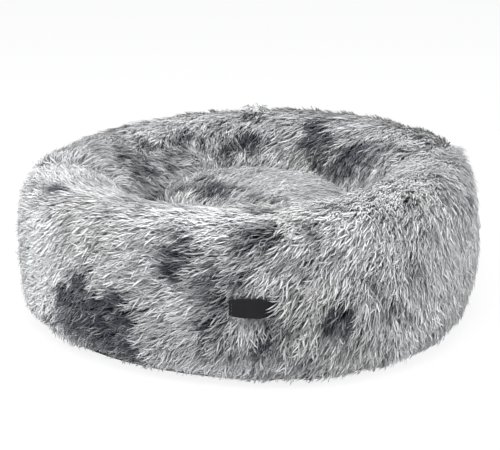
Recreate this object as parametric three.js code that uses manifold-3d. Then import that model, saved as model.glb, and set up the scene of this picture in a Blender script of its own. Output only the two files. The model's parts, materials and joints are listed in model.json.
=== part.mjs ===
// A donut pet bed: a stuffed ring of long-pile plush round a lift-out centre cushion.
// Lengths are millimetres. The bed stands on the floor at z = 0, with its middle on the Z axis
// and its label facing -Y. Plush is measured over the tips of its lying pile.
import * as THREE from "three";
import { mergeVertices } from "three/addons/utils/BufferGeometryUtils.js";
import Module from "manifold-3d";

const wasm = await Module();
wasm.setup();

// The ring
const bedRadius = 300;
const bedHeight = 197;
const wallReach = 64; // from the crest's circle out to the wall
const widestHeight = 80; // where the outside wall stands out furthest
const nestRadius = 137; // inside wall, beside the cushion
const nestFlareHeight = 75; // above it the inside wall opens out to the crest
const ringCoverThickness = 12; // knitted back and lying pile

// Powers of the superellipse quarters that the wall is drawn with: 2 is round, more is squarer
const lowerWallPower = 3.2;
const upperWallPower = 3.04;
const innerWallPower = 2.09;

// The hand-stuffed unevenness of the ring
const fourLobeSwell = 5.8;
const fourLobePeak = THREE.MathUtils.degToRad(28);
const threeLobeSwell = 2.8;
const threeLobePeak = THREE.MathUtils.degToRad(41);
const rightSideRise = 4.8;
const crestRipple = 2.6;
const crestRipplePeak = THREE.MathUtils.degToRad(-43);

// The seams between the front and the back cover, at the left and right, a little turned
const seamAngle = THREE.MathUtils.degToRad(4);
const seamValleyDepth = 5;
const seamValleyHalfWidth = THREE.MathUtils.degToRad(14);

// Clearances
const sewnGap = 0.3; // between pieces that are sewn together or lie on each other
const stuffingGap = 0.4; // between a cover and its stuffing
const cutOverrun = 5;
const weldDistance = 0.001; // corners of a geometry that are closer than this are one corner

// Cloth under the bed and in the floor of the nest
const clothThickness = 1;
const raisedCentreHeight = 8; // from the floor to the underside of the cloth round the zip
const raisedCentreRadius = 131;
const raisedCentreSlope = 14;
const bindingWidth = 8;
const bindingThickness = 1.6;
const waddingThickness = 2;

// The centre cushion
const cushionRadius = 131;
const cushionCrownHeight = 160; // top of the crown above the floor
const cushionSeamHeight = 85;
const cushionTopPower = 5.5;
const cushionUnderPower = 3.2;
const cushionPlushThickness = 10;
const underCoverThickness = 2;

// The label on the front wall
const labelWidth = 50;
const labelHeight = 21;
const labelThickness = 1.2;
const labelMidHeight = 101;
const labelBow = 1.2; // rise of its long edges between its sewn ends

// The zip's teeth and tapes
const zipTeethLength = 200;
const toothPitch = 4; // between neighbours on one tape; the other tape's teeth stand half-way
const toothHeadWidth = 2.1;
const toothNeckWidth = 1.3;
const toothTipWidth = 1.2;
const toothReach = 1.45; // past the zip's middle line
const toothHeadReach = 0.85; // where the head is widest, past the middle line
const toothNeckReach = 0.3; // where the neck ends, past the middle line
const toothGrip = 1.1; // how far it is moulded over the bead
const toothHeight = 2.4;
const tapeWidth = 14;
const tapeThickness = 0.8;
const beadWidth = 1.4;
const beadHeight = 1.8;
const tapeEndMargin = 14; // tape past the last tooth
const slotEndMargin = 19; // slot past the last tooth, room for the slider

// The zip's slider, stops and puller
const sliderLength = 12;
const sliderPlay = 0.4; // beside the beads
const sliderNoseFlare = 0.9; // on each side
const sliderSlotGap = 1.1;
const sliderNoseTaper = 3;
const sliderPlateThickness = 1.2;
const sliderFlangeWidth = 1;
const sliderTailOverlap = 3; // teeth held in the slider's tail when the zip is shut
const dividerLength = 3.4;
const dividerWidth = 2.2;
const dividerSetback = 1;
const stopLength = 3;
const stopWallThickness = 0.5;
const bailLength = 5;
const bailWidth = 2;
const bailHeight = 3.2;
const bailBoreRadius = 0.85;
const bailBoreDrop = 1.7;
const pullerLength = 24;
const pullerWidth = 6.5;
const pullerTipWidth = 4.6;
const pullerThickness = 1.1;
const pullerBarRadius = 0.55;
const pullerWindowLength = 3.6;
const pullerWindowGap = 0.4;

// Steps round and along the forms
const ringSteps = 48;
const cushionSteps = 36;
const lowerWallSteps = 5;
const upperWallSteps = 7;
const innerWallSteps = 7;
const cushionCurveSteps = 8;
const labelSteps = 10;
const slotEndSteps = 4;
const boreSteps = 16;
const barSteps = 8;

// Heights of the layers in the middle of the bed, from the floor up
const tapeBottom = raisedCentreHeight + clothThickness + sewnGap;
const tapeMiddle = tapeBottom + tapeThickness / 2;
const plateInside = toothHeight / 2 + sewnGap; // from the tape's middle to the slider's plates
const sliderTop = tapeMiddle + plateInside + sliderPlateThickness;
const sliderBottom = tapeMiddle - plateInside - sliderPlateThickness;
const waddingBottom = sliderTop + sewnGap;
const liningBottom = waddingBottom + waddingThickness + sewnGap;
const nestFloor = liningBottom + clothThickness + sewnGap;
const baseSeamHeight = clothThickness + sewnGap;
const fillingBottom = baseSeamHeight + bindingThickness + sewnGap;

// Places worked out from the sizes above
const crestRadius = bedRadius - wallReach;
const liningRadius = nestRadius + ringCoverThickness - sewnGap;
const baseSeamTurn = Math.asin((1 - baseSeamHeight / widestHeight) ** (lowerWallPower / 2));
const baseSeamRadius = crestRadius + wallReach * quarterShares(baseSeamTurn, lowerWallPower)[0];
const tapeEdgeGap = toothReach + sewnGap; // from the middle line to a tape's bead
const toothRoot = tapeEdgeGap + toothGrip;
const beadBack = tapeEdgeGap + beadWidth;
const sliderTailWidth = 2 * (beadBack + sliderPlay + sliderFlangeWidth);
const sliderNoseWidth = sliderTailWidth + 2 * sliderNoseFlare;
const slotHalfWidth = sliderNoseWidth / 2 + sliderSlotGap;
const teethPerTape = Math.floor(zipTeethLength / toothPitch);
const rowEnd = ((teethPerTape - 1) * toothPitch) / 2 + toothPitch / 4 + toothHeadWidth / 2;
const sliderTail = rowEnd - sliderTailOverlap;
const sliderNose = sliderTail + sliderLength;
const bailMiddle = sliderTail + sliderLength / 2;
const pullerAxisHeight = sliderBottom - bailBoreDrop;

// A three.js geometry as a solid that can be joined and cut
function solidFrom(geometry) {
  const bare = geometry.index ? geometry.toNonIndexed() : geometry.clone();
  bare.deleteAttribute("normal");
  bare.deleteAttribute("uv");
  const merged = mergeVertices(bare, weldDistance);
  return new wasm.Manifold(
    new wasm.Mesh({
      numProp: 3,
      vertProperties: new Float32Array(merged.attributes.position.array),
      triVerts: new Uint32Array(merged.index.array),
    }),
  );
}

function geometryFrom(solid) {
  const mesh = solid.getMesh();
  return new THREE.BufferGeometry()
    .setAttribute("position", new THREE.BufferAttribute(mesh.vertProperties, mesh.numProp))
    .setIndex(new THREE.BufferAttribute(mesh.triVerts, 1));
}

function joined(geometries) {
  return geometries.map(solidFrom).reduce((whole, next) => whole.add(next));
}

// Revolves a profile of [radius, height] points about the Z axis. The steps straddle the seams.
function revolved(profile, steps) {
  const points = profile.map(([radius, height]) => new THREE.Vector2(radius, height));
  return new THREE.LatheGeometry(points, steps, Math.PI / steps + seamAngle).rotateX(Math.PI / 2);
}

function boxBetween(low, high) {
  const size = high.map((value, axis) => value - low[axis]);
  const middle = high.map((value, axis) => (value + low[axis]) / 2);
  return new THREE.BoxGeometry(...size).translate(...middle);
}

// Extrudes an outline of [x, y] points between two heights.
function extrudedUp(outline, bottom, top) {
  const shape = new THREE.Shape(outline.map(([x, y]) => new THREE.Vector2(x, y)));
  const depth = top - bottom;
  return new THREE.ExtrudeGeometry(shape, { depth, bevelEnabled: false }).translate(0, 0, bottom);
}

// A point on one quarter of a superellipse, as shares of its reach and its rise
function quarterShares(turn, power) {
  return [Math.abs(Math.cos(turn)) ** (2 / power), Math.abs(Math.sin(turn)) ** (2 / power)];
}

// How far the stuffing pushes the ring out and up at an angle
function swellAt(angle) {
  const twice = 2 * (angle - seamAngle);
  const fromSeam = Math.abs(Math.atan2(Math.sin(twice), Math.cos(twice))) / 2;
  const valleyTurn = Math.min(fromSeam / seamValleyHalfWidth, 1) * Math.PI;
  const valley = (seamValleyDepth * (1 + Math.cos(valleyTurn))) / 2;
  const fourLobes = fourLobeSwell * Math.cos(4 * (angle - fourLobePeak));
  const threeLobes = threeLobeSwell * Math.cos(3 * (angle - threeLobePeak));
  const ripple = crestRipple * Math.cos(3 * (angle - crestRipplePeak));
  return {
    outwards: fourLobes + threeLobes,
    upwards: rightSideRise * Math.cos(angle) + ripple - valley,
  };
}

// Moves a revolved geometry by the swell: none at the nest's wall and the floor, all at the top
// and the outside.
function swollen(geometry) {
  const place = geometry.attributes.position;
  for (let i = 0; i < place.count; i++) {
    const [x, y, z] = [place.getX(i), place.getY(i), place.getZ(i)];
    const radius = Math.hypot(x, y);
    const swell = swellAt(Math.atan2(y, x));
    const outShare = THREE.MathUtils.clamp((radius - nestRadius) / (bedRadius - nestRadius), 0, 1);
    const stretch = radius > 0 ? 1 + (swell.outwards * outShare) / radius : 1;
    place.setXYZ(i, x * stretch, y * stretch, z + swell.upwards * (z / bedHeight) ** 2);
  }
  return geometry;
}

// Moves each point of an open outline to its left by a depth.
function inset(points, depth) {
  return points.map(([radius, height], i) => {
    const before = points[Math.max(i - 1, 0)];
    const after = points[Math.min(i + 1, points.length - 1)];
    const along = new THREE.Vector2(after[0] - before[0], after[1] - before[1]).normalize();
    return [radius - along.y * depth, height + along.x * depth];
  });
}

function keptAbove(points, height) {
  return points.map(([radius, z]) => [radius, Math.max(z, height)]);
}

function closedLoop(points) {
  return [...points, points[0]];
}

// The ring's section from the base seam up the wall, over the crest and down to the nest's
// floor, at a depth under the tips of the pile
function ringOutline(depth) {
  const points = [];
  for (let i = 0; i <= lowerWallSteps; i++) {
    const [out, down] = quarterShares(baseSeamTurn * (1 - i / lowerWallSteps), lowerWallPower);
    points.push([crestRadius + wallReach * out, widestHeight * (1 - down)]);
  }
  for (let i = 1; i <= upperWallSteps; i++) {
    const [out, up] = quarterShares((Math.PI / 2) * (i / upperWallSteps), upperWallPower);
    const height = widestHeight + (bedHeight - widestHeight) * up;
    points.push([crestRadius + wallReach * out, height]);
  }
  for (let i = innerWallSteps - 1; i >= 0; i--) {
    const [inwards, up] = quarterShares((Math.PI / 2) * (i / innerWallSteps), innerWallPower);
    const height = nestFlareHeight + (bedHeight - nestFlareHeight) * up;
    points.push([crestRadius - (crestRadius - nestRadius) * inwards, height]);
  }
  points.push([nestRadius, nestFloor]);
  return inset(points, depth);
}

// The two plush covers, cut apart along the seams at the left and right
function ringCovers() {
  const outside = ringOutline(0);
  const inside = keptAbove(ringOutline(ringCoverThickness), baseSeamHeight).reverse();
  inside[0][1] = nestFloor;
  const whole = solidFrom(swollen(revolved(closedLoop([...outside, ...inside]), ringSteps)));
  const far = bedRadius + bedHeight;
  const frontSide = boxBetween([-far, -far, -far], [far, -sewnGap / 2, far]).rotateZ(seamAngle);
  const backSide = boxBetween([-far, sewnGap / 2, -far], [far, far, far]).rotateZ(seamAngle);
  return [frontSide, backSide].map((side) => geometryFrom(whole.intersect(solidFrom(side))));
}

function ringFilling() {
  const outside = ringOutline(ringCoverThickness + stuffingGap);
  const wallFoot = [outside[0][0], fillingBottom];
  const nestFoot = [outside.at(-1)[0], fillingBottom];
  const section = [wallFoot, ...outside.slice(0, -1), nestFoot];
  return swollen(revolved(closedLoop(section), ringSteps));
}

// The outline of the slot that the zip closes
function zipSlotOutline() {
  const halfLength = zipTeethLength / 2 + slotEndMargin - slotHalfWidth;
  const ends = [
    [halfLength, -Math.PI / 2],
    [-halfLength, Math.PI / 2],
  ];
  return ends.flatMap(([middle, firstTurn]) =>
    Array.from({ length: 2 * slotEndSteps + 1 }, (_, i) => {
      const turn = firstTurn + (Math.PI / 2) * (i / slotEndSteps);
      return [middle + slotHalfWidth * Math.cos(turn), slotHalfWidth * Math.sin(turn)];
    }),
  );
}

// The cloth under the bed: flat under the ring, raised in the middle and slotted for the zip
function baseCloth() {
  const slopeFoot = raisedCentreRadius + raisedCentreSlope;
  const underside = [
    [0, raisedCentreHeight],
    [raisedCentreRadius, raisedCentreHeight],
    [slopeFoot, 0],
    [baseSeamRadius, 0],
  ];
  const upperSide = underside.map(([radius, z]) => [radius, z + clothThickness]).reverse();
  const cloth = swollen(revolved([...underside, ...upperSide], ringSteps));
  const top = raisedCentreHeight + clothThickness;
  const slot = extrudedUp(zipSlotOutline(), raisedCentreHeight - cutOverrun, top + cutOverrun);
  return geometryFrom(solidFrom(cloth).subtract(solidFrom(slot)));
}

// The tape over the edges that are sewn together at the base seam
function baseBinding() {
  const outer = ringOutline(ringCoverThickness)[0][0] - sewnGap;
  const section = [
    [outer - bindingWidth, baseSeamHeight],
    [outer, baseSeamHeight],
    [outer, baseSeamHeight + bindingThickness],
    [outer - bindingWidth, baseSeamHeight + bindingThickness],
  ];
  return swollen(revolved(closedLoop(section), ringSteps));
}

function flatDisc(radius, bottom, thickness) {
  const top = bottom + thickness;
  const profile = [
    [0, bottom],
    [radius, bottom],
    [radius, top],
    [0, top],
  ];
  return revolved(profile, ringSteps);
}

// Half of the cushion's section, from its rim to the axis: a quarter of a superellipse that
// rises, or falls, from a height
function cushionQuarter(reach, rise, power, fromHeight) {
  return Array.from({ length: cushionCurveSteps + 1 }, (_, i) => {
    const [out, up] = quarterShares((Math.PI / 2) * (i / cushionCurveSteps), power);
    return [i < cushionCurveSteps ? reach * out : 0, fromHeight + rise * up];
  });
}

function cushionTopSide(depth, rimHeight) {
  const rise = cushionCrownHeight - rimHeight - depth;
  return cushionQuarter(cushionRadius - depth, rise, cushionTopPower, rimHeight);
}

function cushionUnderSide(depth, rimHeight) {
  const fall = rimHeight - nestFloor - depth;
  return cushionQuarter(cushionRadius - depth, -fall, cushionUnderPower, rimHeight);
}

function cushionTopCover() {
  const rim = cushionSeamHeight + sewnGap / 2;
  const inside = cushionTopSide(cushionPlushThickness, rim).reverse();
  return revolved([...inside, ...cushionTopSide(0, rim)], cushionSteps);
}

function cushionUnderCover() {
  const rim = cushionSeamHeight - sewnGap / 2;
  const outside = cushionUnderSide(0, rim).reverse();
  return revolved([...outside, ...cushionUnderSide(underCoverThickness, rim)], cushionSteps);
}

function cushionFilling() {
  const step = cushionSeamHeight - sewnGap;
  const below = cushionUnderSide(underCoverThickness + stuffingGap, step).reverse();
  const above = cushionTopSide(cushionPlushThickness + stuffingGap, cushionSeamHeight);
  above[0][1] = step;
  return revolved([...below, ...above], cushionSteps);
}

// The label, bent to the wall's curve, its long edges bowed between its sewn ends
function label() {
  const flat = new THREE.BoxGeometry(labelWidth, labelThickness, labelHeight, labelSteps, 1, 1);
  const place = flat.attributes.position;
  for (let i = 0; i < place.count; i++) {
    const [x, y, z] = [place.getX(i), place.getY(i), place.getZ(i)];
    const angle = x / bedRadius - Math.PI / 2;
    const seat = bedRadius + swellAt(angle).outwards + sewnGap;
    const radius = seat + labelThickness / 2 - y;
    const bow = labelBow * (1 - (2 * x / labelWidth) ** 2) * Math.sign(z);
    place.setXYZ(i, radius * Math.cos(angle), radius * Math.sin(angle), labelMidHeight + z + bow);
  }
  return flat;
}

// A box on one side of the zip's middle line, between two distances from it and two heights.
// side is -1 for the front and 1 for the back.
function boxBesideZip(side, [startX, endX], [near, far], [bottom, top]) {
  const [lowY, highY] = side > 0 ? [near, far] : [-far, -near];
  return boxBetween([startX, lowY, bottom], [endX, highY, top]);
}

function aboutTape(halfHeight) {
  return [tapeMiddle - halfHeight, tapeMiddle + halfHeight];
}

// One tooth seen from above: a neck from the tape's bead and a wider head past the middle line
function toothOutline(middle, side) {
  const half = [
    [toothNeckWidth / 2, toothRoot],
    [toothNeckWidth / 2, -toothNeckReach],
    [toothHeadWidth / 2, -toothHeadReach],
    [toothTipWidth / 2, -toothReach],
  ];
  const other = half.map(([x, y]) => [-x, y]).reverse();
  return [...half, ...other].map(([x, y]) => [middle + side * x, side * y]);
}

// One side of the zip: its tape, the bead on the tape's edge and its row of teeth
function zipTape(side) {
  const end = zipTeethLength / 2 + tapeEndMargin;
  const tapeAcross = [tapeEdgeGap + beadWidth / 2, tapeEdgeGap + tapeWidth];
  const beadAcross = [tapeEdgeGap, tapeEdgeGap + beadWidth];
  const tape = boxBesideZip(side, [-end, end], tapeAcross, aboutTape(tapeThickness / 2));
  const bead = boxBesideZip(side, [-end, end], beadAcross, aboutTape(beadHeight / 2));
  const teeth = Array.from({ length: teethPerTape }, (_, i) => {
    const middle = (i - (teethPerTape - 1) / 2) * toothPitch + (side * toothPitch) / 4;
    return extrudedUp(toothOutline(middle, side), ...aboutTape(toothHeight / 2));
  });
  return geometryFrom(joined([tape, bead, ...teeth]));
}

// The stops are folded round the tapes' beads: one on each tape past the slider's nose, and one
// over both tapes past the last teeth.
const stopRoom = beadHeight / 2 + sewnGap;
const stopHalfHeight = stopRoom + stopWallThickness;
const stopInside = tapeEdgeGap - sewnGap;

function zipTopStop(side) {
  const start = sliderNose + sewnGap;
  const end = start + stopLength;
  const clipAcross = [stopInside - stopWallThickness, beadBack];
  const clip = boxBesideZip(side, [start, end], clipAcross, aboutTape(stopHalfHeight));
  const roomAlong = [start - cutOverrun, end + cutOverrun];
  const roomAcross = [stopInside, beadBack + cutOverrun];
  const room = boxBesideZip(side, roomAlong, roomAcross, aboutTape(stopRoom));
  return geometryFrom(solidFrom(clip).subtract(solidFrom(room)));
}

function zipBottomStop() {
  const end = -rowEnd - sewnGap;
  const start = end - stopLength;
  const [bottom, top] = aboutTape(stopHalfHeight);
  const block = solidFrom(boxBetween([start, -beadBack, bottom], [end, beadBack, top]));
  const roomAlong = [start - cutOverrun, end + cutOverrun];
  const roomAcross = [stopInside, beadBack + cutOverrun];
  const rooms = [-1, 1].map((side) => boxBesideZip(side, roomAlong, roomAcross, aboutTape(stopRoom)));
  return geometryFrom(rooms.reduce((left, room) => left.subtract(solidFrom(room)), block));
}

// An outline that runs from the slider's tail to its nose and back, at a distance inside its edge
function sliderOutline(depth, tail, nose) {
  const half = [
    [tail, sliderTailWidth / 2 - depth],
    [sliderNose - sliderNoseTaper, sliderNoseWidth / 2 - depth],
    [nose, (sliderNoseWidth - sliderNoseTaper) / 2 - depth],
  ];
  return [...half.map(([x, y]) => [x, -y]), ...half.reverse()];
}

// The slider: two plates with flanges at their edges, held together by the divider in the nose,
// with a bail below for the puller
function zipSlider() {
  const block = extrudedUp(sliderOutline(0, sliderTail, sliderNose), sliderBottom, sliderTop);
  const channelEnds = [sliderTail - cutOverrun, sliderNose + cutOverrun];
  const channelOutline = sliderOutline(sliderFlangeWidth, ...channelEnds);
  const channel = extrudedUp(channelOutline, ...aboutTape(plateInside));
  const [slotBottom, slotTop] = aboutTape(tapeThickness / 2 + sewnGap);
  const tapeSlot = boxBetween(
    [channelEnds[0], -sliderNoseWidth, slotBottom],
    [channelEnds[1], sliderNoseWidth, slotTop],
  );
  const dividerNose = sliderNose - dividerSetback;
  const dividerOutline = [
    [dividerNose - dividerLength, 0],
    [dividerNose - dividerLength / 2, -dividerWidth / 2],
    [dividerNose, 0],
    [dividerNose - dividerLength / 2, dividerWidth / 2],
  ];
  const divider = extrudedUp(dividerOutline, ...aboutTape(plateInside + sliderPlateThickness / 2));
  const bail = boxBetween(
    [bailMiddle - bailLength / 2, -bailWidth / 2, sliderBottom - bailHeight],
    [bailMiddle + bailLength / 2, bailWidth / 2, sliderBottom + sliderPlateThickness / 2],
  );
  const boreLength = bailWidth + 2 * cutOverrun;
  const bore = new THREE.CylinderGeometry(bailBoreRadius, bailBoreRadius, boreLength, boreSteps);
  bore.translate(bailMiddle, 0, pullerAxisHeight);
  const plates = solidFrom(block).subtract(solidFrom(channel)).subtract(solidFrom(tapeSlot));
  return geometryFrom(plates.add(solidFrom(divider)).add(solidFrom(bail)).subtract(solidFrom(bore)));
}

// The puller lies along the shut zip: a bar through the bail, two arms and a tapering plate
function zipPuller() {
  const outline = [
    [bailMiddle - pullerLength, -pullerTipWidth / 2],
    [bailMiddle, -pullerWidth / 2],
    [bailMiddle, pullerWidth / 2],
    [bailMiddle - pullerLength, pullerTipWidth / 2],
  ];
  const bottom = pullerAxisHeight - pullerThickness / 2;
  const top = pullerAxisHeight + pullerThickness / 2;
  const plate = extrudedUp(outline, bottom, top);
  const windowHalfWidth = bailWidth / 2 + pullerWindowGap;
  const bailWindow = boxBetween(
    [bailMiddle - pullerWindowLength, -windowHalfWidth, bottom - cutOverrun],
    [bailMiddle + cutOverrun, windowHalfWidth, top + cutOverrun],
  );
  const bar = new THREE.CylinderGeometry(pullerBarRadius, pullerBarRadius, pullerWidth, barSteps);
  bar.translate(bailMiddle, 0, pullerAxisHeight);
  return geometryFrom(solidFrom(plate).subtract(solidFrom(bailWindow)).add(solidFrom(bar)));
}

// Materials
function finish(color, roughness, metalness = 0) {
  return new THREE.MeshStandardMaterial({ color, roughness, metalness });
}

const plush = finish(0xa9adb2, 0.95);
const stuffing = finish(0xeeeeea, 1);
const blackCloth = finish(0x26272b, 0.9);
const greyCloth = finish(0x6e7176, 0.9);
const labelCloth = finish(0x2e2d31, 0.8);
const zipPlastic = finish(0x1c1c1f, 0.5);
const zipMetal = finish(0x3a3b3f, 0.35, 1);

// The bed, piece by piece
const bed = new THREE.Group();

function addPiece(name, geometry, material, parent = bed) {
  const piece = new THREE.Mesh(geometry, material);
  piece.name = name;
  parent.add(piece);
}

const [frontCover, backCover] = ringCovers();
addPiece("ring_cover_front", frontCover, plush);
addPiece("ring_cover_back", backCover, plush);
addPiece("ring_filling", ringFilling(), stuffing);
addPiece("label", label(), labelCloth);
addPiece("base_cloth", baseCloth(), blackCloth);
addPiece("base_binding", baseBinding(), blackCloth);
addPiece("floor_lining", flatDisc(liningRadius, liningBottom, clothThickness), greyCloth);
addPiece("base_wadding", flatDisc(nestRadius, waddingBottom, waddingThickness), stuffing);

const zip = new THREE.Group();
bed.add(zip);
addPiece("zip_tape_front", zipTape(-1), zipPlastic, zip);
addPiece("zip_tape_back", zipTape(1), zipPlastic, zip);
addPiece("zip_top_stop_front", zipTopStop(-1), zipMetal, zip);
addPiece("zip_top_stop_back", zipTopStop(1), zipMetal, zip);
addPiece("zip_bottom_stop", zipBottomStop(), zipMetal, zip);
addPiece("zip_slider", zipSlider(), zipMetal, zip);
addPiece("zip_puller", zipPuller(), zipMetal, zip);

const cushion = new THREE.Group();
bed.add(cushion);
addPiece("cushion_top_cover", cushionTopCover(), plush, cushion);
addPiece("cushion_under_cover", cushionUnderCover(), greyCloth, cushion);
addPiece("cushion_filling", cushionFilling(), stuffing, cushion);

export default bed;
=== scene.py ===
# %% [markdown]
# A round plush pet bed. A tall stuffed ring of long, frosted pile stands round a domed cushion
# that lifts out. Two plush panels make the ring, a cloth base with a zip closes it below, and a
# small woven label is sewn to the front wall.
#
# The frame comes first. It holds the bed's solids at their true size, so every piece made here
# takes its place from them and never has to be fitted afterwards.

# %% Load the frame
import bisect
import json
import math

import bmesh
import bpy
from mathutils import Matrix, Vector, noise

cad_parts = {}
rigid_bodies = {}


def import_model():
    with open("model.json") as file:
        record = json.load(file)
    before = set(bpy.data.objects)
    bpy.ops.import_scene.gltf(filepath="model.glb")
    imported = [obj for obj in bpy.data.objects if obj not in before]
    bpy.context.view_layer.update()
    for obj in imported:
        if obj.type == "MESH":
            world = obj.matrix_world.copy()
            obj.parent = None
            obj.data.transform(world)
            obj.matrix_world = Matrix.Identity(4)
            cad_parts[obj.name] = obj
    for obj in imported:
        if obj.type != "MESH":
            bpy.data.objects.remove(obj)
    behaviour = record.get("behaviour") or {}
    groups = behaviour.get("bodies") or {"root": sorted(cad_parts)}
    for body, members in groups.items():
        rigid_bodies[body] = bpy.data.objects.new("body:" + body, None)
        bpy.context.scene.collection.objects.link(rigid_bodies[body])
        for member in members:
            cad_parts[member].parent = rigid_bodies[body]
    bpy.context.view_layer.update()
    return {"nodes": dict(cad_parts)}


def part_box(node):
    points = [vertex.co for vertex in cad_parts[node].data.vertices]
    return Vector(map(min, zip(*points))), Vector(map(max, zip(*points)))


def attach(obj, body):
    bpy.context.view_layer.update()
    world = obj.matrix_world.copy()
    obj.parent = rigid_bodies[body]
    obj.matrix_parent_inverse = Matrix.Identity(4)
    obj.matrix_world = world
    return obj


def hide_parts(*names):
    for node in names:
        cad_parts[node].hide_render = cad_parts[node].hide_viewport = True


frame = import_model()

MM = 0.001


def box_of(node):
    low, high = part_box(node)
    return Vector(low), Vector(high)


print("pieces in the frame:", len(frame["nodes"]))

# %% [markdown]
# Objects and nodes are made in many of the steps below, so a few helpers do it in one call. A value
# that is itself a socket becomes a link. A node's input is called by its name, or by its number
# where several inputs share a name: _0 is the first.

# %% Write helpers for objects and nodes


def linked(name, data):
    """A new object in the scene that shows a mesh, a curve, a lamp or a camera."""
    made = bpy.data.objects.new(name, data)
    bpy.context.collection.objects.link(made)
    return made


def loose_object(name, shape):
    """An object with the bmesh's shape that is no piece of the bed yet."""
    mesh = bpy.data.meshes.new(name)
    shape.to_mesh(mesh)
    return linked(name, mesh)


def socket_of(sockets, name):
    """The socket with that number, or the first of that name that the node's present mode uses."""
    if name[0] == "_":
        return sockets[int(name[1:])]
    return next(s for s in sockets if s.name == name.replace("_", " ") and s.enabled)


def hand_to(tree, target, value):
    if isinstance(value, bpy.types.NodeSocket):
        tree.links.new(value, target)
    else:
        target.default_value = value


def add_node(tree, kind, settings=None, **inputs):
    made = tree.nodes.new(kind)
    for name, value in (settings or {}).items():
        setattr(made, name, value)
    for name, value in inputs.items():
        hand_to(tree, socket_of(made.inputs, name), value)
    return made


def add_math(tree, operation, first, second=0.0):
    return add_node(tree, "ShaderNodeMath", {"operation": operation}, _0=first, _1=second).outputs[0]


def add_mix(tree, share, first, second):
    return add_node(tree, "ShaderNodeMix", {"data_type": "RGBA"}, _0=share, _6=first, _7=second).outputs[2]


def add_noise(tree, place, **inputs):
    return add_node(tree, "ShaderNodeTexNoise", Vector=place, **inputs).outputs[0]


def add_range(tree, value, settings=None, **inputs):
    return add_node(tree, "ShaderNodeMapRange", settings, Value=value, **inputs).outputs[0]


def new_group(name, kind, inputs, outputs):
    """A node group with its inputs and outputs, and the two nodes inside it that hold them."""
    tree = bpy.data.node_groups.new(name, kind)
    for side, sockets in (("INPUT", inputs), ("OUTPUT", outputs)):
        for socket_name, socket_type in sockets.items():
            tree.interface.new_socket(socket_name, in_out=side, socket_type=socket_type)
    return tree, tree.nodes.new("NodeGroupInput").outputs, tree.nodes.new("NodeGroupOutput").inputs


def new_material(name, roughness, specular=0.5, sheen=0.0):
    """A material, its nodes and the inputs of its shader."""
    material = bpy.data.materials.new(name)
    material.use_nodes = True
    tree = material.node_tree
    shader = tree.nodes["Principled BSDF"].inputs
    shader["Roughness"].default_value = roughness
    shader["Specular IOR Level"].default_value = specular
    shader["Sheen Weight"].default_value = sheen
    return material, tree, shader


print("helpers are ready")

# %% [markdown]
# The camera stands in front of the label and looks down a little. Its height, distance and lens
# came from matching the bed's outline to the picture, so they are plain numbers here. A long lens
# far away keeps the ring's ellipse as flat as it looks there.

# %% Set up the camera
CAMERA_PLACE = Vector((0.0, -1.678, 0.6403))
CAMERA_DOWN = math.radians(18.0)
LENS = 97.82
SHIFT = (-0.0033, 0.0073)

camera = linked("camera", bpy.data.cameras.new("camera"))
camera.data.lens = LENS
camera.data.shift_x, camera.data.shift_y = SHIFT
camera.location = CAMERA_PLACE
camera.rotation_euler = (math.pi / 2 - CAMERA_DOWN, 0, 0)
bpy.context.scene.camera = camera
print("camera is", round(camera.location.length, 2), "m from the bed's middle")

# %% [markdown]
# The bed stands on a white floor under soft light, as for a catalogue. Turning lamps up until the
# floor clips would bleach the plush too. So the floor and the sky are only white to the camera
# and in reflections, and light the bed at a plain level.

# %% Make the floor and the light
WHITE = (1, 1, 1, 1)
FLOOR_HALF_WIDTH = 8.0
FLOOR_PAINT = (0.82, 0.82, 0.82, 1)
FLOOR_GLOW_SHARE = 0.86
SKY_TINT, SKY_LIGHT = (0.97, 0.985, 1, 1), 0.65
LAMPS = (  # name, place, size, power
    ("key_lamp", (-0.4, -1.0, 2.4), 1.7, 64.0),
    ("left_lamp", (-2.1, -0.6, 1.0), 2.2, 30.0),
    ("right_lamp", (2.1, -0.5, 1.0), 1.8, 34.0),
)


def seen_directly(tree):
    """1 for rays from the camera, in mirrors and through glass, and 0 for rays that light things."""
    path = tree.nodes.new("ShaderNodeLightPath").outputs
    either = add_math(tree, "MAXIMUM", path["Is Camera Ray"], path["Is Glossy Ray"])
    return add_math(tree, "MAXIMUM", either, path["Is Transmission Ray"])


def make_sky():
    world = bpy.data.worlds.new("studio")
    world.use_nodes = True
    tree = world.node_tree
    tree.nodes.clear()
    dim = add_node(tree, "ShaderNodeBackground", Color=SKY_TINT, Strength=SKY_LIGHT).outputs[0]
    white = add_node(tree, "ShaderNodeBackground", Color=WHITE, Strength=1.0).outputs[0]
    both = add_node(tree, "ShaderNodeMixShader", _0=seen_directly(tree), _1=dim, _2=white)
    add_node(tree, "ShaderNodeOutputWorld", Surface=both.outputs[0])
    bpy.context.scene.world = world


def make_floor():
    shape = bmesh.new()
    bmesh.ops.create_grid(shape, x_segments=1, y_segments=1, size=FLOOR_HALF_WIDTH)
    floor = loose_object("floor", shape)
    paint, tree, shader = new_material("white floor", 0.9, 0.1)
    shader["Base Color"].default_value = FLOOR_PAINT
    plain = tree.nodes["Principled BSDF"].outputs[0]
    glow = add_node(tree, "ShaderNodeEmission", Color=WHITE, Strength=1.0).outputs[0]
    share = add_math(tree, "MULTIPLY", seen_directly(tree), FLOOR_GLOW_SHARE)
    both = add_node(tree, "ShaderNodeMixShader", _0=share, _1=plain, _2=glow)
    tree.links.new(both.outputs[0], tree.nodes["Material Output"].inputs["Surface"])
    floor.data.materials.append(paint)


def make_lamp(name, place, size, power):
    lamp = linked(name, bpy.data.lights.new(name, "AREA"))
    lamp.data.size = size
    lamp.data.energy = power
    lamp.location = place
    lamp.rotation_euler = (-Vector(place)).to_track_quat("-Z", "Y").to_euler()


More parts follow.
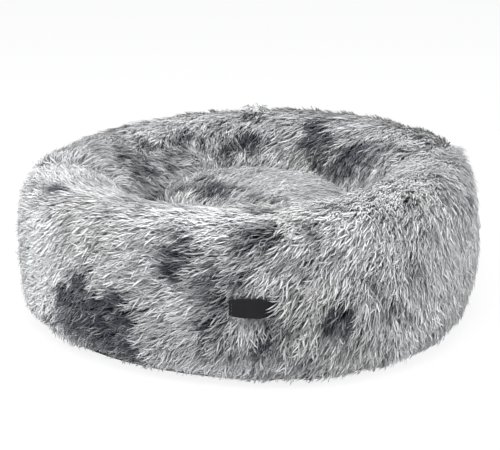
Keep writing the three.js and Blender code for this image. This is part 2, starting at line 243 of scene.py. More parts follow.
make_sky()
make_floor()
for lamp_facts in LAMPS:
    make_lamp(*lamp_facts)
bpy.context.scene.view_settings.view_transform = "Standard"
print("the floor and", len(LAMPS), "lamps are ready")

# %% [markdown]
# The ring is a tube whose section is squarer outside and rounder inside, drawn with quarters of a
# superellipse. Stuffing by hand leaves it uneven, so a few slow waves push it out and up as it
# goes round. A point on it is named by its turn round the bed, and its roll round the tube: 0
# degrees of roll faces outwards, 90 is the crest and 180 faces the nest.

# %% Set the ring's sizes
BED_RADIUS = 300 * MM
BED_HEIGHT = 197 * MM
CREST_RADIUS = 236 * MM
WIDEST_HEIGHT = 80 * MM
NEST_RADIUS = 137 * MM
NEST_FLARE_HEIGHT = 75 * MM
NEST_FLOOR = box_of("floor_lining")[1].z + 0.3 * MM
BASE_SEAM_HEIGHT = box_of("ring_cover_front")[0].z
LOWER_POWER, UPPER_POWER, INNER_POWER = 3.2, 3.04, 2.09
PILE_DEPTH = 8.5 * MM
RING_COLUMNS, RING_ROWS = 384, 132
QUARTER_STEPS = 120


def between(place, places, values):
    """The value at a place between the given ones, held level past either end."""
    if place <= places[0]:
        return values[0]
    i = min(bisect.bisect_left(places, place), len(places) - 1)
    share = min((place - places[i - 1]) / (places[i] - places[i - 1]), 1)
    return values[i - 1] + (values[i] - values[i - 1]) * share


def quarter(turn, power):
    return abs(math.cos(turn)) ** (2 / power), abs(math.sin(turn)) ** (2 / power)


def evenly(points, count):
    """The same line with points at equal distances along it."""
    gone = [0.0]
    for (r0, z0), (r1, z1) in zip(points, points[1:]):
        gone.append(gone[-1] + math.hypot(r1 - r0, z1 - z0))
    spaced = []
    for i in range(count + 1):
        due = gone[-1] * i / count
        spaced.append(tuple(between(due, gone, [point[axis] for point in points]) for axis in (0, 1)))
    return spaced


def ring_profile(count=RING_ROWS):
    """Points (radius, height) from the base seam up the wall, over the crest, down to the nest."""
    reach = BED_RADIUS - CREST_RADIUS
    seam_turn = math.asin((1 - BASE_SEAM_HEIGHT / WIDEST_HEIGHT) ** (LOWER_POWER / 2))
    points = []
    for i in range(QUARTER_STEPS):
        out, down = quarter(seam_turn * (1 - i / QUARTER_STEPS), LOWER_POWER)
        points.append((CREST_RADIUS + reach * out, WIDEST_HEIGHT * (1 - down)))
    for i in range(QUARTER_STEPS):
        out, up = quarter(math.pi / 2 * i / QUARTER_STEPS, UPPER_POWER)
        points.append((CREST_RADIUS + reach * out, WIDEST_HEIGHT + (BED_HEIGHT - WIDEST_HEIGHT) * up))
    for i in range(QUARTER_STEPS, -1, -1):
        inwards, up = quarter(math.pi / 2 * i / QUARTER_STEPS, INNER_POWER)
        height = NEST_FLARE_HEIGHT + (BED_HEIGHT - NEST_FLARE_HEIGHT) * up
        points.append((CREST_RADIUS - (CREST_RADIUS - NEST_RADIUS) * inwards, height))
    points.append((NEST_RADIUS, NEST_FLOOR))
    return evenly(points, count)


def turn_and_roll(point):
    """The turn round the bed and the roll round the tube, in degrees. Roll runs from -90 to 270."""
    turn = math.degrees(math.atan2(point.y, point.x)) % 360
    roll = math.degrees(math.atan2(point.z - WIDEST_HEIGHT, point.xy.length - CREST_RADIUS))
    return turn, roll if roll > -90 else roll + 360


print("the section has", len(ring_profile()), "points")

# %% [markdown]
# Stuffing pushes a skin out between its seams, and the cloth puckers beside them. That shape could
# be drawn, but a short cloth simulation finds it by itself: the skin is blown up with its sewn
# edges pinned. The skin swells as well, so no point may move further than a cap. The cushion is
# filled this way further down. The ring's dents and puckers are drawn instead, because so large a
# skin came out a little different each time.

# %% Let stuffing fill a skin
STUFFING_PRESSURE = 4.0
SWELL_FRAMES = 20


def settle(piece):
    """Applies the piece's modifiers, so that its mesh is final."""
    bpy.context.view_layer.update()
    graph = bpy.context.evaluated_depsgraph_get()
    shown = piece.evaluated_get(graph)
    finished = bpy.data.meshes.new_from_object(shown, preserve_all_data_layers=True, depsgraph=graph)
    piece.modifiers.clear()
    piece.data = finished


def blown_up(skin, pinned):
    """Where the skin's points are once the pressure has worked on it."""
    pins = skin.vertex_groups.new(name="pins")
    pins.add([v.index for v in skin.data.vertices if pinned(v.co)], 1.0, "REPLACE")
    cloth = skin.modifiers.new("cloth", "CLOTH")
    cloth.settings.vertex_group_mass = "pins"
    cloth.settings.use_pressure = True
    cloth.settings.uniform_pressure_force = STUFFING_PRESSURE
    cloth.settings.effector_weights.gravity = 0
    cloth.collision_settings.use_collision = False
    cloth.point_cache.frame_start = 1
    cloth.point_cache.frame_end = SWELL_FRAMES
    for moment in range(1, SWELL_FRAMES + 1):
        bpy.context.scene.frame_set(moment)
    settle(skin)
    bpy.context.scene.frame_set(1)
    return [v.co.copy() for v in skin.data.vertices]


def filled(shape, cap, pinned, grid):
    """The skin's bmesh once it is stuffed."""
    skin = loose_object("skin", shape)
    even = skin.modifiers.new("even grid", "REMESH")
    even.mode = "VOXEL"
    even.voxel_size = grid
    settle(skin)
    shape.clear()
    shape.from_mesh(skin.data)
    moves = [new - vertex.co for new, vertex in zip(blown_up(skin, pinned), shape.verts)]
    for vertex, move in zip(shape.verts, moves):
        vertex.co += move if move.length < cap else move * (cap / move.length)
    shape.normal_update()
    print("stuffing moved the skin by up to", round(max(m.length for m in moves) / MM, 1), "mm")
    bpy.data.objects.remove(skin)
    return shape


print("skins may be filled with a pressure of", STUFFING_PRESSURE)

# %% [markdown]
# Slow waves round the bed make the ring uneven, and it sinks a little at each side seam. The two
# panels meet in those seams, which lean back as they come over the crest. So the wall's grid is
# twisted a little until one column of it lies along each seam.

# %% Swell and lean the ring
FOUR_LOBE_SWELL, FOUR_LOBE_PEAK = 5.8 * MM, math.radians(28)
THREE_LOBE_SWELL, THREE_LOBE_PEAK = 2.8 * MM, math.radians(41)
RIGHT_SIDE_RISE = 4.8 * MM
CREST_RIPPLE, CREST_RIPPLE_PEAK = 2.6 * MM, math.radians(-43)
VALLEY_DEPTH, VALLEY_TURN, VALLEY_HALF_WIDTH = 5 * MM, math.radians(4), math.radians(14)
SEAM_ROLLS = (0, 45, 90, 120, 180)
LEFT_SEAM_TURNS = (174, 175, 181, 180, 180)
RIGHT_SEAM_TURNS = (24, 22, 15, 6, 0)


def seam_turns(roll):
    return between(roll, SEAM_ROLLS, LEFT_SEAM_TURNS), between(roll, SEAM_ROLLS, RIGHT_SEAM_TURNS)


def swell_at(turn):
    """How far the stuffing pushes the ring out and up at a turn in radians."""
    twice = 2 * (turn - VALLEY_TURN)
    from_seam = abs(math.atan2(math.sin(twice), math.cos(twice))) / 2
    valley = VALLEY_DEPTH * (1 + math.cos(min(from_seam / VALLEY_HALF_WIDTH, 1) * math.pi)) / 2
    outwards = FOUR_LOBE_SWELL * math.cos(4 * (turn - FOUR_LOBE_PEAK))
    outwards += THREE_LOBE_SWELL * math.cos(3 * (turn - THREE_LOBE_PEAK))
    ripple = CREST_RIPPLE * math.cos(3 * (turn - CREST_RIPPLE_PEAK))
    return outwards, RIGHT_SIDE_RISE * math.cos(turn) + ripple - valley


def swollen(point):
    radius = point.xy.length
    outwards, upwards = swell_at(math.atan2(point.y, point.x))
    out_share = min(max((radius - NEST_RADIUS) / (BED_RADIUS - NEST_RADIUS), 0), 1)
    stretch = 1 + outwards * out_share / radius
    rise = upwards * (point.z / BED_HEIGHT) ** 2
    return Vector((point.x * stretch, point.y * stretch, point.z + rise))


def leaned(point):
    """Turns a point so that the columns at 0 and 180 degrees fall on the two seams."""
    turn, roll = turn_and_roll(point)
    left, right = seam_turns(roll)
    left_share = (1 - math.cos(math.radians(turn))) / 2
    lean = (left - 180) * left_share + right * (1 - left_share)
    return Matrix.Rotation(math.radians(lean), 3, "Z") @ point


swells = [swell_at(math.radians(turn))[0] for turn in range(360)]
print("the ring swells by", round(min(swells) / MM, 1), "to", round(max(swells) / MM, 1), "mm")

# %% [markdown]
# The wall is the section carried once round the bed, then leaned, swollen and pressed in by the
# depth of the pile. A crease runs down each seam, the cloth puckers beside it, and soft dents
# break up the rest.

# %% Shape the ring's wall
CREASE_DEPTH, CREASE_HALF_WIDTH = 6 * MM, 8 * MM
PUCKER_DEPTH, PUCKER_REACH, PUCKER_PITCH = 1.6 * MM, 26 * MM, 19 * MM
DENTS = ((85 * MM, 2.6 * MM), (34 * MM, 1.2 * MM))  # size and depth
TUBE_RADIUS = 64 * MM  # about how far the wall is from the tube's middle
WELD = 0.001 * MM
CREST_SHARE = 0.9  # faces above this share of the bed's height are on the crest


def spun(profile, columns):
    """The profile carried once round the Z axis. A grid is rolled up and its edges are welded."""
    rows = len(profile) - 1
    shape = bmesh.new()
    bmesh.ops.create_grid(shape, x_segments=columns, y_segments=rows, size=0.5)
    for vertex in shape.verts:
        turn = 2 * math.pi * (vertex.co.x + 0.5)
        radius, height = profile[round((vertex.co.y + 0.5) * rows)]
        vertex.co = (radius * math.cos(turn), radius * math.sin(turn), height)
    bmesh.ops.remove_doubles(shape, verts=shape.verts, dist=WELD)
    bmesh.ops.recalc_face_normals(shape, faces=shape.faces)
    return shape


def dip_at(point, depth):
    """How far the backing lies under the tips of the pile, with its seams, puckers and dents."""
    turn, roll = turn_and_roll(point)
    reach = min(abs(math.radians((turn - seam + 180) % 360 - 180)) for seam in seam_turns(roll))
    aside = reach * point.xy.length
    dip = depth + CREASE_DEPTH * math.exp(-(aside / CREASE_HALF_WIDTH) ** 2)
    gather = math.sin(2 * math.pi * math.radians(roll) * TUBE_RADIUS / PUCKER_PITCH)
    dip += PUCKER_DEPTH * gather * math.exp(-(aside / PUCKER_REACH) ** 2)
    return dip + sum(deep * noise.noise(point / size) for size, deep in DENTS)


def ring_wall(depth, columns=RING_COLUMNS):
    """The ring's wall at a depth under the tips of the pile. Its faces know which panel they are in."""
    shape = spun(ring_profile(), columns)
    front = shape.faces.layers.int.new("front")
    for face in shape.faces:
        face[front] = face.calc_center_median().y < 0
    for vertex in shape.verts:
        vertex.co = swollen(leaned(vertex.co))
    shape.normal_update()
    crest = [face for face in shape.faces if face.calc_center_median().z > CREST_SHARE * BED_HEIGHT]
    if sum(face.normal.z for face in crest) < 0:
        bmesh.ops.reverse_faces(shape, faces=shape.faces)
        shape.normal_update()
    moves = [vertex.normal * dip_at(vertex.co, depth) for vertex in shape.verts]
    for vertex, move in zip(shape.verts, moves):
        vertex.co -= move
        vertex.co.z = max(vertex.co.z, BASE_SEAM_HEIGHT)
    return shape


wall = ring_wall(PILE_DEPTH)
print("the backing of the ring has", len(wall.faces), "faces")

# %% [markdown]
# Each panel becomes an object of its own, as it is cut and sewn. The next steps paint its grid: where the
# pile lies, how long it is and how dark the dye came out, with a few pools of painted light and shade. These
# are kept as attributes of the points, so that every tuft can read them.

# %% Cut the wall into its two panels


def riding(piece, body):
    """Lets a piece ride on a body, shaded smooth."""
    piece.data.shade_smooth()
    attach(piece, body)
    return piece


def piece_from(name, shape, body):
    piece = loose_object(name, shape)
    shape.free()
    return riding(piece, body)


def half_of(wall, wanted):
    shape = wall.copy()
    front = shape.faces.layers.int["front"]
    unwanted = [face for face in shape.faces if bool(face[front]) != wanted]
    bmesh.ops.delete(shape, geom=unwanted, context="FACES")
    return shape


def finer(shape):
    """Cuts every face in four and evens out the new points, but leaves the open edges."""
    bmesh.ops.subdivide_edges(shape, edges=shape.edges, cuts=1, use_grid_fill=True)
    inside = [vertex for vertex in shape.verts if not vertex.is_boundary]
    for _ in range(2):
        bmesh.ops.smooth_vert(shape, verts=inside, factor=0.5,
                              use_axis_x=True, use_axis_y=True, use_axis_z=True)
    return shape


front_panel = piece_from("front_panel", half_of(wall, True), "bed")
back_panel = piece_from("back_panel", half_of(wall, False), "bed")
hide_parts("ring_cover_front")
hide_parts("ring_cover_back")
print("points to paint:", len(front_panel.data.vertices) + len(back_panel.data.vertices))

# %% [markdown]
# The pile lies the way it was last brushed. It sweeps to the left along the front wall, fans out
# at the left end, and right of the label it falls in diagonals that steepen until they hang
# straight down at the right end. Each stroke of the brush below has a place on the ring and a
# heading: 0 points down the outside wall, 90 runs anticlockwise seen from above.

# %% Brush the pile
BRUSH_REACH, BRUSH_CORE = 34 * MM, 0.15
BRUSH_STROKES = (
    (222, 48, -44), (226, 65, -46), (205, 52, -72), (222, 9, -47), (223, -45, -50), (242, 28, -76),
    (254, 31, -77), (256, 62, -84), (264, 81, -81), (262, 15, -65), (269, -8, -8), (280, 33, -36),
    (288, 44, -34), (288, -8, -31), (304, 60, -31), (309, 15, -9), (323, 9, 7), (311, -43, 15),
    (286, 76, -72), (291, 71, -45), (308, 75, -60), (240, 68, -69), (248, 82, -56), (205, 5, -60),
    (245, -40, -62), (262, -40, -45), (280, -40, -35), (340, 20, 5), (335, 60, -20), (330, 95, -70),
    (240, 110, -70), (270, 120, -90), (300, 120, -100), (200, 100, -90), (270, 160, 180),
    (164, 129, -139), (133, 134, -124), (135, 100, 101), (108, 93, 126), (101, 134, 165),
    (78, 107, 142), (55, 115, 150), (28, 121, -153), (26, 84, -146), (350, 113, -134),
    (150, 20, -30), (120, 0, -10), (120, 50, 20), (90, 20, 10), (60, 0, 20), (30, 30, 15),
    (10, 0, 5), (10, 50, 10), (180, 30, -60), (90, 170, 170), (180, 170, -170), (0, 170, 180),
)


def tangents(point, normal):
    """The two ways to go on the ring's wall: anticlockwise, and up it towards the crest."""
    around = Vector((-point.y, point.x, 0)).normalized()
    up_wall = around.cross(normal) if normal.length else Vector((0, 0, 1))
    return around, -up_wall.normalized()


FINE_ROWS = 400
FINE_PROFILE = ring_profile(FINE_ROWS)
PROFILE_ROLLS = [turn_and_roll(Vector((radius, 0, height)))[1] for radius, height in FINE_PROFILE]


def ring_place(turn, roll):
    """The point of the ring's wall at a turn and a roll, in degrees."""
    angle = math.radians(turn)
    nearest = min(range(len(PROFILE_ROLLS)), key=lambda i: abs(PROFILE_ROLLS[i] - roll))
    radius, height = FINE_PROFILE[nearest]
    return swollen(Vector((radius * math.cos(angle), radius * math.sin(angle), height)))


def farness(way):
    """How little a stroke counts for a point, from the way between the two."""
    gap = way.length_squared / (BRUSH_REACH * BRUSH_REACH)
    return BRUSH_CORE + gap * gap


STROKES = [(ring_place(turn, roll), math.radians(heading)) for turn, roll, heading in BRUSH_STROKES]


def brushed(point):
    """The pile's heading at a point, from the strokes near it."""
    down, aside = 0.0, 0.0
    for place, heading in STROKES:
        weight = 1 / farness(point - place)
        down += weight * math.cos(heading)
        aside += weight * math.sin(heading)
    return math.atan2(aside, down)


print("brush strokes:", len(BRUSH_STROKES))

# %% [markdown]
# The plush is dyed in cloudy pools: charcoal in places, almost white in others, grey between. The pools are
# placed where the bed has them, each with its place on the ring and its size in millimetres.
# A few of the pools are not dye. They paint light and shade onto the plush, and they are marked in the list.

# %% Place the pools of dye and of painted light and shade
DYE_AND_LIGHT_POOLS = (  # turn, roll, half width, half height, how much lighter
    (232, -12, 52, 50, -1.00), (237, -37, 38, 20, -1.05), (244, -50, 26, 9, -0.60),
    (223, -36, 28, 16, -0.70), (222, -14, 20, 28, -0.50), (238, 9, 18, 18, -0.30),
    (252, 49, 27, 26, -0.60), (259, 40, 26, 20, -0.30), (272, 66, 18, 26, -0.75),
    (275, 64, 18, 19, -0.30), (261, 19, 18, 14, -0.65), (258, 0, 19, 14, -0.55),
    (266, 37, 17, 11, -0.45), (261, -20, 25, 10, -0.40), (270, -38, 36, 9, -0.35),
    (252, -42, 20, 9, -0.30), (288, -2, 20, 18, -1.30), (284, 9, 14, 12, -0.35),
    (285, -21, 24, 14, -0.40), (247, 33, 16, 12, -0.30), (268, 0, 30, 9, -0.25),
    (294, 31, 16, 11, -0.22), (308, 36, 20, 18, -0.20), (337, 50, 12, 38, -0.80),
    (291, 84, 28, 16, -0.55), (308, 71, 20, 12, -0.25), (211, 76, 38, 15, -0.70),
    # (211, 33) and (208, -13) paint the left end whiter: painted light.
    (224, 70, 22, 12, -0.20), (211, 33, 34, 62, 0.50), (208, -13, 24, 46, 0.50),
    (245, 75, 34, 15, 0.22), (226, 62, 30, 22, 0.15), (258, 98, 50, 14, 0.25),
    (292, 65, 30, 26, 0.25), (316, 9, 38, 52, 0.28), (304, -29, 42, 24, 0.20),
    (250, 12, 24, 22, 0.10), (252, -22, 24, 14, 0.12), (243, 40, 18, 20, -0.15),
    (280, 22, 22, 30, 0.12), (317, 66, 26, 24, 0.30), (320, 42, 30, 36, 0.35),
    (302, 46, 18, 20, 0.25), (63, 110, 17, 20, -0.90), (59, 128, 22, 27, -1.35),
    (40, 136, 32, 27, -1.10), (91, 128, 24, 20, -0.90), (28, 133, 20, 20, -0.45),
    (14, 110, 24, 20, -0.35), (253, 50, 14, 26, -0.45), (321, 71, 20, 14, -0.35),
    (311, 69, 22, 14, -0.40), (271, 89, 30, 15, -0.45), (227, -31, 24, 16, -0.50),
    (303, 38, 21, 17, 0.85), (327, 0, 30, 40, 0.20), (241, 23, 18, 14, 0.25),
    (296, 54, 24, 16, 0.20), (226, -50, 34, 14, -0.70), (237, -55, 34, 12, -0.60),
    # (91, 104) is the painted shadow of the teased tuft on the back crest.
    (91, 104, 9, 12, -0.40), (57, 131, 17, 28, -1.20), (60, 100, 12, 14, -0.60),
    (54, 142, 14, 16, -0.80), (259, -9, 24, 14, -0.35), (231, 13, 20, 10, 0.35),
    (240, 4, 11, 14, 0.35), (238, -44, 22, 10, -0.50), (267, 22, 66, 60, -0.12),
    # These three paint shade along the bottom of the front wall, near the floor: painted shade.
    (268, -34, 80, 18, -0.20), (252, -38, 40, 14, -0.15), (284, -34, 40, 16, -0.20),
    # (336, 40) paints the right end lighter: painted light.
    (336, 40, 24, 70, 0.30), (143, 125, 90, 32, -0.45), (108, 132, 42, 24, -0.25),
    (36, 126, 36, 22, -0.50), (27, 112, 32, 14, -0.50), (182, 109, 24, 16, -0.15),
    (171, 94, 40, 24, 0.15), (113, 97, 34, 17, 0.42), (76, 105, 24, 20, 0.22),
    (49, 100, 30, 12, 0.20), (33, 96, 34, 14, 0.35), (10, 92, 26, 18, 0.30),
    (350, 100, 26, 22, 0.15), (90, -10, 60, 26, -0.55), (25, 10, 50, 28, -0.45),
    (160, 0, 44, 34, -0.50), (40, -20, 30, 20, -0.30), (135, 40, 26, 20, -0.42),
    (75, 50, 26, 20, -0.38), (120, 10, 34, 50, 0.20), (170, 50, 30, 30, 0.20),
)
POOLS = [(ring_place(turn, roll), wide * MM, high * MM, amount)
         for turn, roll, wide, high, amount in DYE_AND_LIGHT_POOLS]
print("dye pools:", len(POOLS))

# %% [markdown]
# The value at a point is the panel's own tone of dye, plus noise of three sizes for the small clouds, plus
# every pool that reaches it: pools of dye, and the few pools of painted light and shade. Noise frays the
# edges of the pools too.

# %% Work out the dye and the painted light and shade at a point
POOL_EDGE = (0.45, 1.42)  # where a pool starts to fade and where it ends, in half widths
POOL_LIMIT = 1.8  # no pool shows past this, not even where its edge frays
POOL_FRAY, FRAY_SIZE = 0.35, 16 * MM
CLOUDS = ((0.075, 0.25), (0.028, 0.52), (0.012, 0.50))  # size of a cloud in metres, its strength
TIP_REACH = 12 * MM  # a strand shows its colour this far from its root
WHITEST = 1.2  # past 1 even a strand of a darker shade stays white
FRONT_DYE, BACK_DYE, CUSHION_DYE = 0.78, 0.69, 0.86
FRONT_SEED, BACK_SEED, CUSHION_SEED = 3.0, 11.0, 23.0


def eased(value, low, high):
    share = min(max((value - low) / (high - low), 0), 1)
    return share * share * (3 - 2 * share)


def cloudy(point, seed):
    return sum(strength * noise.noise(point / size + Vector((seed, 0, 0))) for size, strength in CLOUDS)


def in_pool(gap, point):
    """1 inside a pool and 0 outside, with a frayed edge between."""
    return 1 - eased(gap + POOL_FRAY * noise.noise(point / FRAY_SIZE), *POOL_EDGE)


def dye_and_light_at(point, base, seed):
    """How light the plush is painted at a point, by its dye and by the painted light and shade: 0 is
    charcoal, and 1 and more is white.
    """
    light = base + cloudy(point, seed)
    for place, wide, high, amount in POOLS:
        away = point - place
        if away.length > POOL_LIMIT * max(wide, high):
            continue
        around = Vector((-place.y, place.x, 0)).normalized()
        across = away.dot(around)
        along = math.sqrt(max(away.length_squared - across * across, 0))
        light += amount * in_pool(math.hypot(across / wide, along / high), point)
    return min(max(light, 0), WHITEST)


print("in the middle of the front the dye is", round(dye_and_light_at(ring_place(270, 0), FRONT_DYE, FRONT_SEED), 2))

# %% [markdown]
# Round the label the pile is pressed flat, so the tufts that would fall across it are kept short,
# but a few reach over its right end. Down in the nest, where the cushion rubs, the pile is shorter
# too. One tuft on the back crest was teased up and stands taller, one hangs over the label, and
# one stands up a little at the right.

# %% Paint the panels
LABEL_LOW, LABEL_HIGH = box_of("label")
LABEL_CLEARING, LABEL_RIGHT_CLEARING = 20 * MM, 7 * MM
LABEL_NEAR = 30 * MM  # past this, seen from above, the label doesn't matter
LABEL_TOUCH, POINTS_AWAY = 1 * MM, -0.2  # a tuft is cut short if it is so near, or points less away
TUFTS = (  # place, full within, gone beyond, extra length, extra loft
    (ring_place(87, 94), 10 * MM, 25 * MM, 0.3, 1.6),
    (ring_place(277, 25), 8 * MM, 17 * MM, 0.0, 1.2),
    (ring_place(340, 42), 30 * MM, 75 * MM, 0.0, 0.5),
)
SHORTEST_SHARE = 0.22
NEST_TRIM, NEST_TRIM_RISE, NEST_REACH = 0.35, 30 * MM, 200 * MM
LOFT_TURNS = (0, 40, 200, 240, 272, 322, 342, 360)
LOFTS = (0.60, 0.66, 0.60, 0.62, 1.0, 1.0, 0.62, 0.60)


def gap_to_label(point):
    """The way from a point to the label's edge, seen from the front."""
    nearest = Vector((min(max(point.x, LABEL_LOW.x), LABEL_HIGH.x), point.y,
                      min(max(point.z, LABEL_LOW.z), LABEL_HIGH.z)))
    return nearest - point


def tufted(point):
    """How much longer and how much loftier the teased tufts make the pile at a point."""
    shares = [1 - eased((point - tuft[0]).length, tuft[1], tuft[2]) for tuft in TUFTS]
    return [sum(share * tuft[extra] for share, tuft in zip(shares, TUFTS)) for extra in (3, 4)]


def length_share(point, comb, longer):
    """The pile's length at a point, as a share of its full length."""
    in_nest = point.xy.length < NEST_REACH
    share = 1 - NEST_TRIM * eased(NEST_FLARE_HEIGHT - point.z, 0, NEST_TRIM_RISE) * in_nest
    share += longer
    if point.y > LABEL_HIGH.y + LABEL_NEAR:
        return share
    gap = gap_to_label(point)
    towards = gap.length < LABEL_TOUCH or gap.dot(comb) > POINTS_AWAY * gap.length
    clearing = LABEL_RIGHT_CLEARING if gap.x < 0 else LABEL_CLEARING
    clear = min(1, SHORTEST_SHARE + gap.length / clearing)
    return min(share, clear) if towards else share


def loft_at(turn):
    """How high the pile stands: it lies smooth at the left and back, and is tousled at the right."""
    return between(turn, LOFT_TURNS, LOFTS)


def paint(mesh, values):
    """Keeps a number or a vector for every point of a mesh, under each name."""
    for name, numbers in values.items():
        is_vector = isinstance(numbers[0], Vector)
        layer = mesh.attributes.new(name, "FLOAT_VECTOR" if is_vector else "FLOAT", "POINT")
        flat = [part for number in numbers for part in (number if is_vector else (number,))]
        layer.data.foreach_set("vector" if is_vector else "value", flat)


def paint_ring_panel(panel, base, seed):
    combs, dye_and_light_values, lengths, lofts = [], [], [], []
    for vertex in panel.data.vertices:
        around, up_wall = tangents(vertex.co, vertex.normal)
        heading = brushed(vertex.co)
        comb = around * math.sin(heading) - up_wall * math.cos(heading)
        longer, loftier = tufted(vertex.co)
        combs.append(comb)
        dye_and_light_values.append(dye_and_light_at(vertex.co + comb * TIP_REACH, base, seed))
        lengths.append(length_share(vertex.co, comb, longer))
        lofts.append(loft_at(turn_and_roll(vertex.co)[0]) + loftier)
    paint(panel.data, {"comb": combs, "dye": dye_and_light_values, "trim": lengths, "loft": lofts})
    print(panel.name, "dye from", round(min(dye_and_light_values), 2), "to", round(max(dye_and_light_values), 2))


paint_ring_panel(front_panel, FRONT_DYE, FRONT_SEED)
paint_ring_panel(back_panel, BACK_DYE, BACK_SEED)

# %% [markdown]
# Faux fur is made of locks: fibres that cling together and end in a point. Each lock here is a
# three-sided blade, extruded step by step along a bent path and closed to a point. A few
# different bends are enough, because every copy is turned, stretched and tilted on its own.

# %% Draw a blade of fibre
TIP = (1.0, 0.0)  # share of the length, share of the width
BLADE_SIDES, BLADE_FLATNESS = 3, 0.55
BLADE_ARCH = math.radians(128)  # a blade rises along this much of a sine wave
ROOT_BURIAL = 1.5 * MM
ROOT_STRIP, COLUMN_MARGIN = 0.1, 0.06  # of the blade's flat pattern
ROOT_WIDENED, ROOT_HEIGHTENED = 100, 20  # how many times, so that the small root fills its strip


def blade_path(share, length, rise, bend):
    lift = rise * math.sin(BLADE_ARCH * share) ** 0.8
    return Vector((length * share, bend * share * share, lift - ROOT_BURIAL))


def make_blade(name, length, width, rise, girths, bend):
    """A closed blade that starts at the origin, points along X and bends to the side."""
    shape = bmesh.new()
    bmesh.ops.create_circle(shape, segments=BLADE_SIDES, radius=0.5, cap_ends=True,
                            matrix=Matrix.Rotation(math.pi / 2, 4, "Y"))
    along = shape.verts.layers.float.new("along")
    patch = shape.loops.layers.uv.new("OFBake")
    cap = shape.faces[:]
    sections = [shape.verts[:]]
    for _ in girths:
        made = bmesh.ops.extrude_face_region(shape, geom=cap)["geom"]
        bmesh.ops.delete(shape, geom=cap, context="FACES_ONLY")
        cap = [g for g in made if isinstance(g, bmesh.types.BMFace)]
        sections.append([g for g in made if isinstance(g, bmesh.types.BMVert)])
    for section, (share, girth) in zip(sections, girths + (TIP,)):
        size = Matrix.Diagonal((1, width * girth, BLADE_FLATNESS * width * girth, 1))
        place = Matrix.Translation(blade_path(share, length, rise, bend))
        bmesh.ops.transform(shape, matrix=place @ size, verts=section)
        for vertex in section:
            vertex[along] = share
    bmesh.ops.pointmerge(shape, verts=sections[-1], merge_co=blade_path(1, length, rise, bend))
    bmesh.ops.contextual_create(shape, geom=sections[0])
    bmesh.ops.recalc_face_normals(shape, faces=shape.faces)
    lay_out_blade(shape, along, patch)
    mesh = bpy.data.meshes.new(name)
    shape.to_mesh(mesh)
    shape.free()
    mesh.shade_smooth()
    return bpy.data.objects.new(name, mesh)


def lay_out_blade(shape, along, patch):
    """Unrolls the blade: its sides stand next to each other, from the root below to the tip."""
    shape.faces.ensure_lookup_table()
    for face in shape.faces:
        is_root = all(vertex[along] == 0 for vertex in face.verts)
        side = math.atan2(face.normal.z, face.normal.y) % (2 * math.pi) / (2 * math.pi) * BLADE_SIDES
        column = min(int(side), BLADE_SIDES - 1)
        centre = face.calc_center_median()
        across = face.normal.cross(Vector((1, 0, 0)))
        for loop in face.loops:
            away, share = loop.vert.co - centre, loop.vert[along]
            if is_root:
                loop[patch].uv = (0.5 + away.y * ROOT_WIDENED, ROOT_STRIP / 2 + away.z * ROOT_HEIGHTENED)
                continue
            aside = 0.5 if share == 1 else float(away.dot(across) > 0)
            width = COLUMN_MARGIN + (1 - 2 * COLUMN_MARGIN) * aside
            loop[patch].uv = ((column + width) / BLADE_SIDES, ROOT_STRIP + (1 - ROOT_STRIP) * share)


print("a blade has", BLADE_SIDES, "sides")

# %% [markdown]
# Broad locks make the body of the pile, and strands half as wide and a little higher soften it. The
# templates stay in a collection of their own until the pile is planted.

# %% Make the locks and the strands
LOCK_BENDS, STRAND_BENDS = (-5, -2.5, 0.5, 3, 5.5), (-5, -1.5, 2, 5)  # in mm, to the side
LOCK_LENGTH, LOCK_WIDTH, LOCK_RISE = 22 * MM, 2.3 * MM, 7.6 * MM
STRAND_LENGTH, STRAND_WIDTH, STRAND_RISE = 21 * MM, 1.1 * MM, 8.6 * MM
LOCK_GIRTHS = ((0.0, 0.5), (0.4, 1.0), (0.78, 0.72))  # share of the length, share of the width
STRAND_GIRTHS = ((0.0, 0.8), (0.5, 1.0))
templates = bpy.data.collections.new("templates")
bpy.context.scene.collection.children.link(templates)


def make_blades(name, bends, *sizes):
    group = bpy.data.collections.new(name)
    templates.children.link(group)
    for i, bend in enumerate(bends):
        group.objects.link(make_blade(f"{name}_{i}", *sizes, bend * MM))
    return group


locks = make_blades("lock", LOCK_BENDS, LOCK_LENGTH, LOCK_WIDTH, LOCK_RISE, LOCK_GIRTHS)
strands = make_blades("strand", STRAND_BENDS, STRAND_LENGTH, STRAND_WIDTH, STRAND_RISE, STRAND_GIRTHS)

# %% [markdown]
# Geometry nodes plant the pile: points are spread evenly over a panel, and each gets a blade that
# stands on the panel and leans the way the pile was brushed. Noise turns neighbours together, so
# the pile clumps, and a little chance turns each blade by itself. Planting by nodes is quicker
# than a loop in Python and always gives the same pile for the same seed.
#
# These helpers add the nodes that read a painted value, draw a number by chance, work with
# directions, and keep a value on the blades.

# %% Write helpers for planting
VECTOR = "FLOAT_VECTOR"


def named(tree, name, data_type="FLOAT"):
    return add_node(tree, "GeometryNodeInputNamedAttribute", {"data_type": data_type}, Name=name).outputs[0]


def chance(tree, low, high, seed, **who):
    """A number drawn for each point, or with _7= one number for all points that share that value."""
    made = add_node(tree, "FunctionNodeRandomValue", {"data_type": "FLOAT"}, _2=low, _3=high, _8=seed, **who)
    return made.outputs[1]


def chance_vector(tree, reach, seed, **who):
    made = add_node(tree, "FunctionNodeRandomValue", {"data_type": VECTOR}, _0=(-reach,) * 3,
                    _1=(reach,) * 3, _8=seed, **who)
    return made.outputs[0]


def vector_sum(tree, first, *others):
    for other in others:
        first = add_node(tree, "ShaderNodeVectorMath", {"operation": "ADD"}, _0=first, _1=other).outputs[0]
    return first


def vector_less(tree, first, second):
    return add_node(tree, "ShaderNodeVectorMath", {"operation": "SUBTRACT"}, _0=first, _1=second).outputs[0]


def scaled(tree, vector, factor):
    return add_node(tree, "ShaderNodeVectorMath", {"operation": "SCALE"}, _0=vector, Scale=factor).outputs[0]


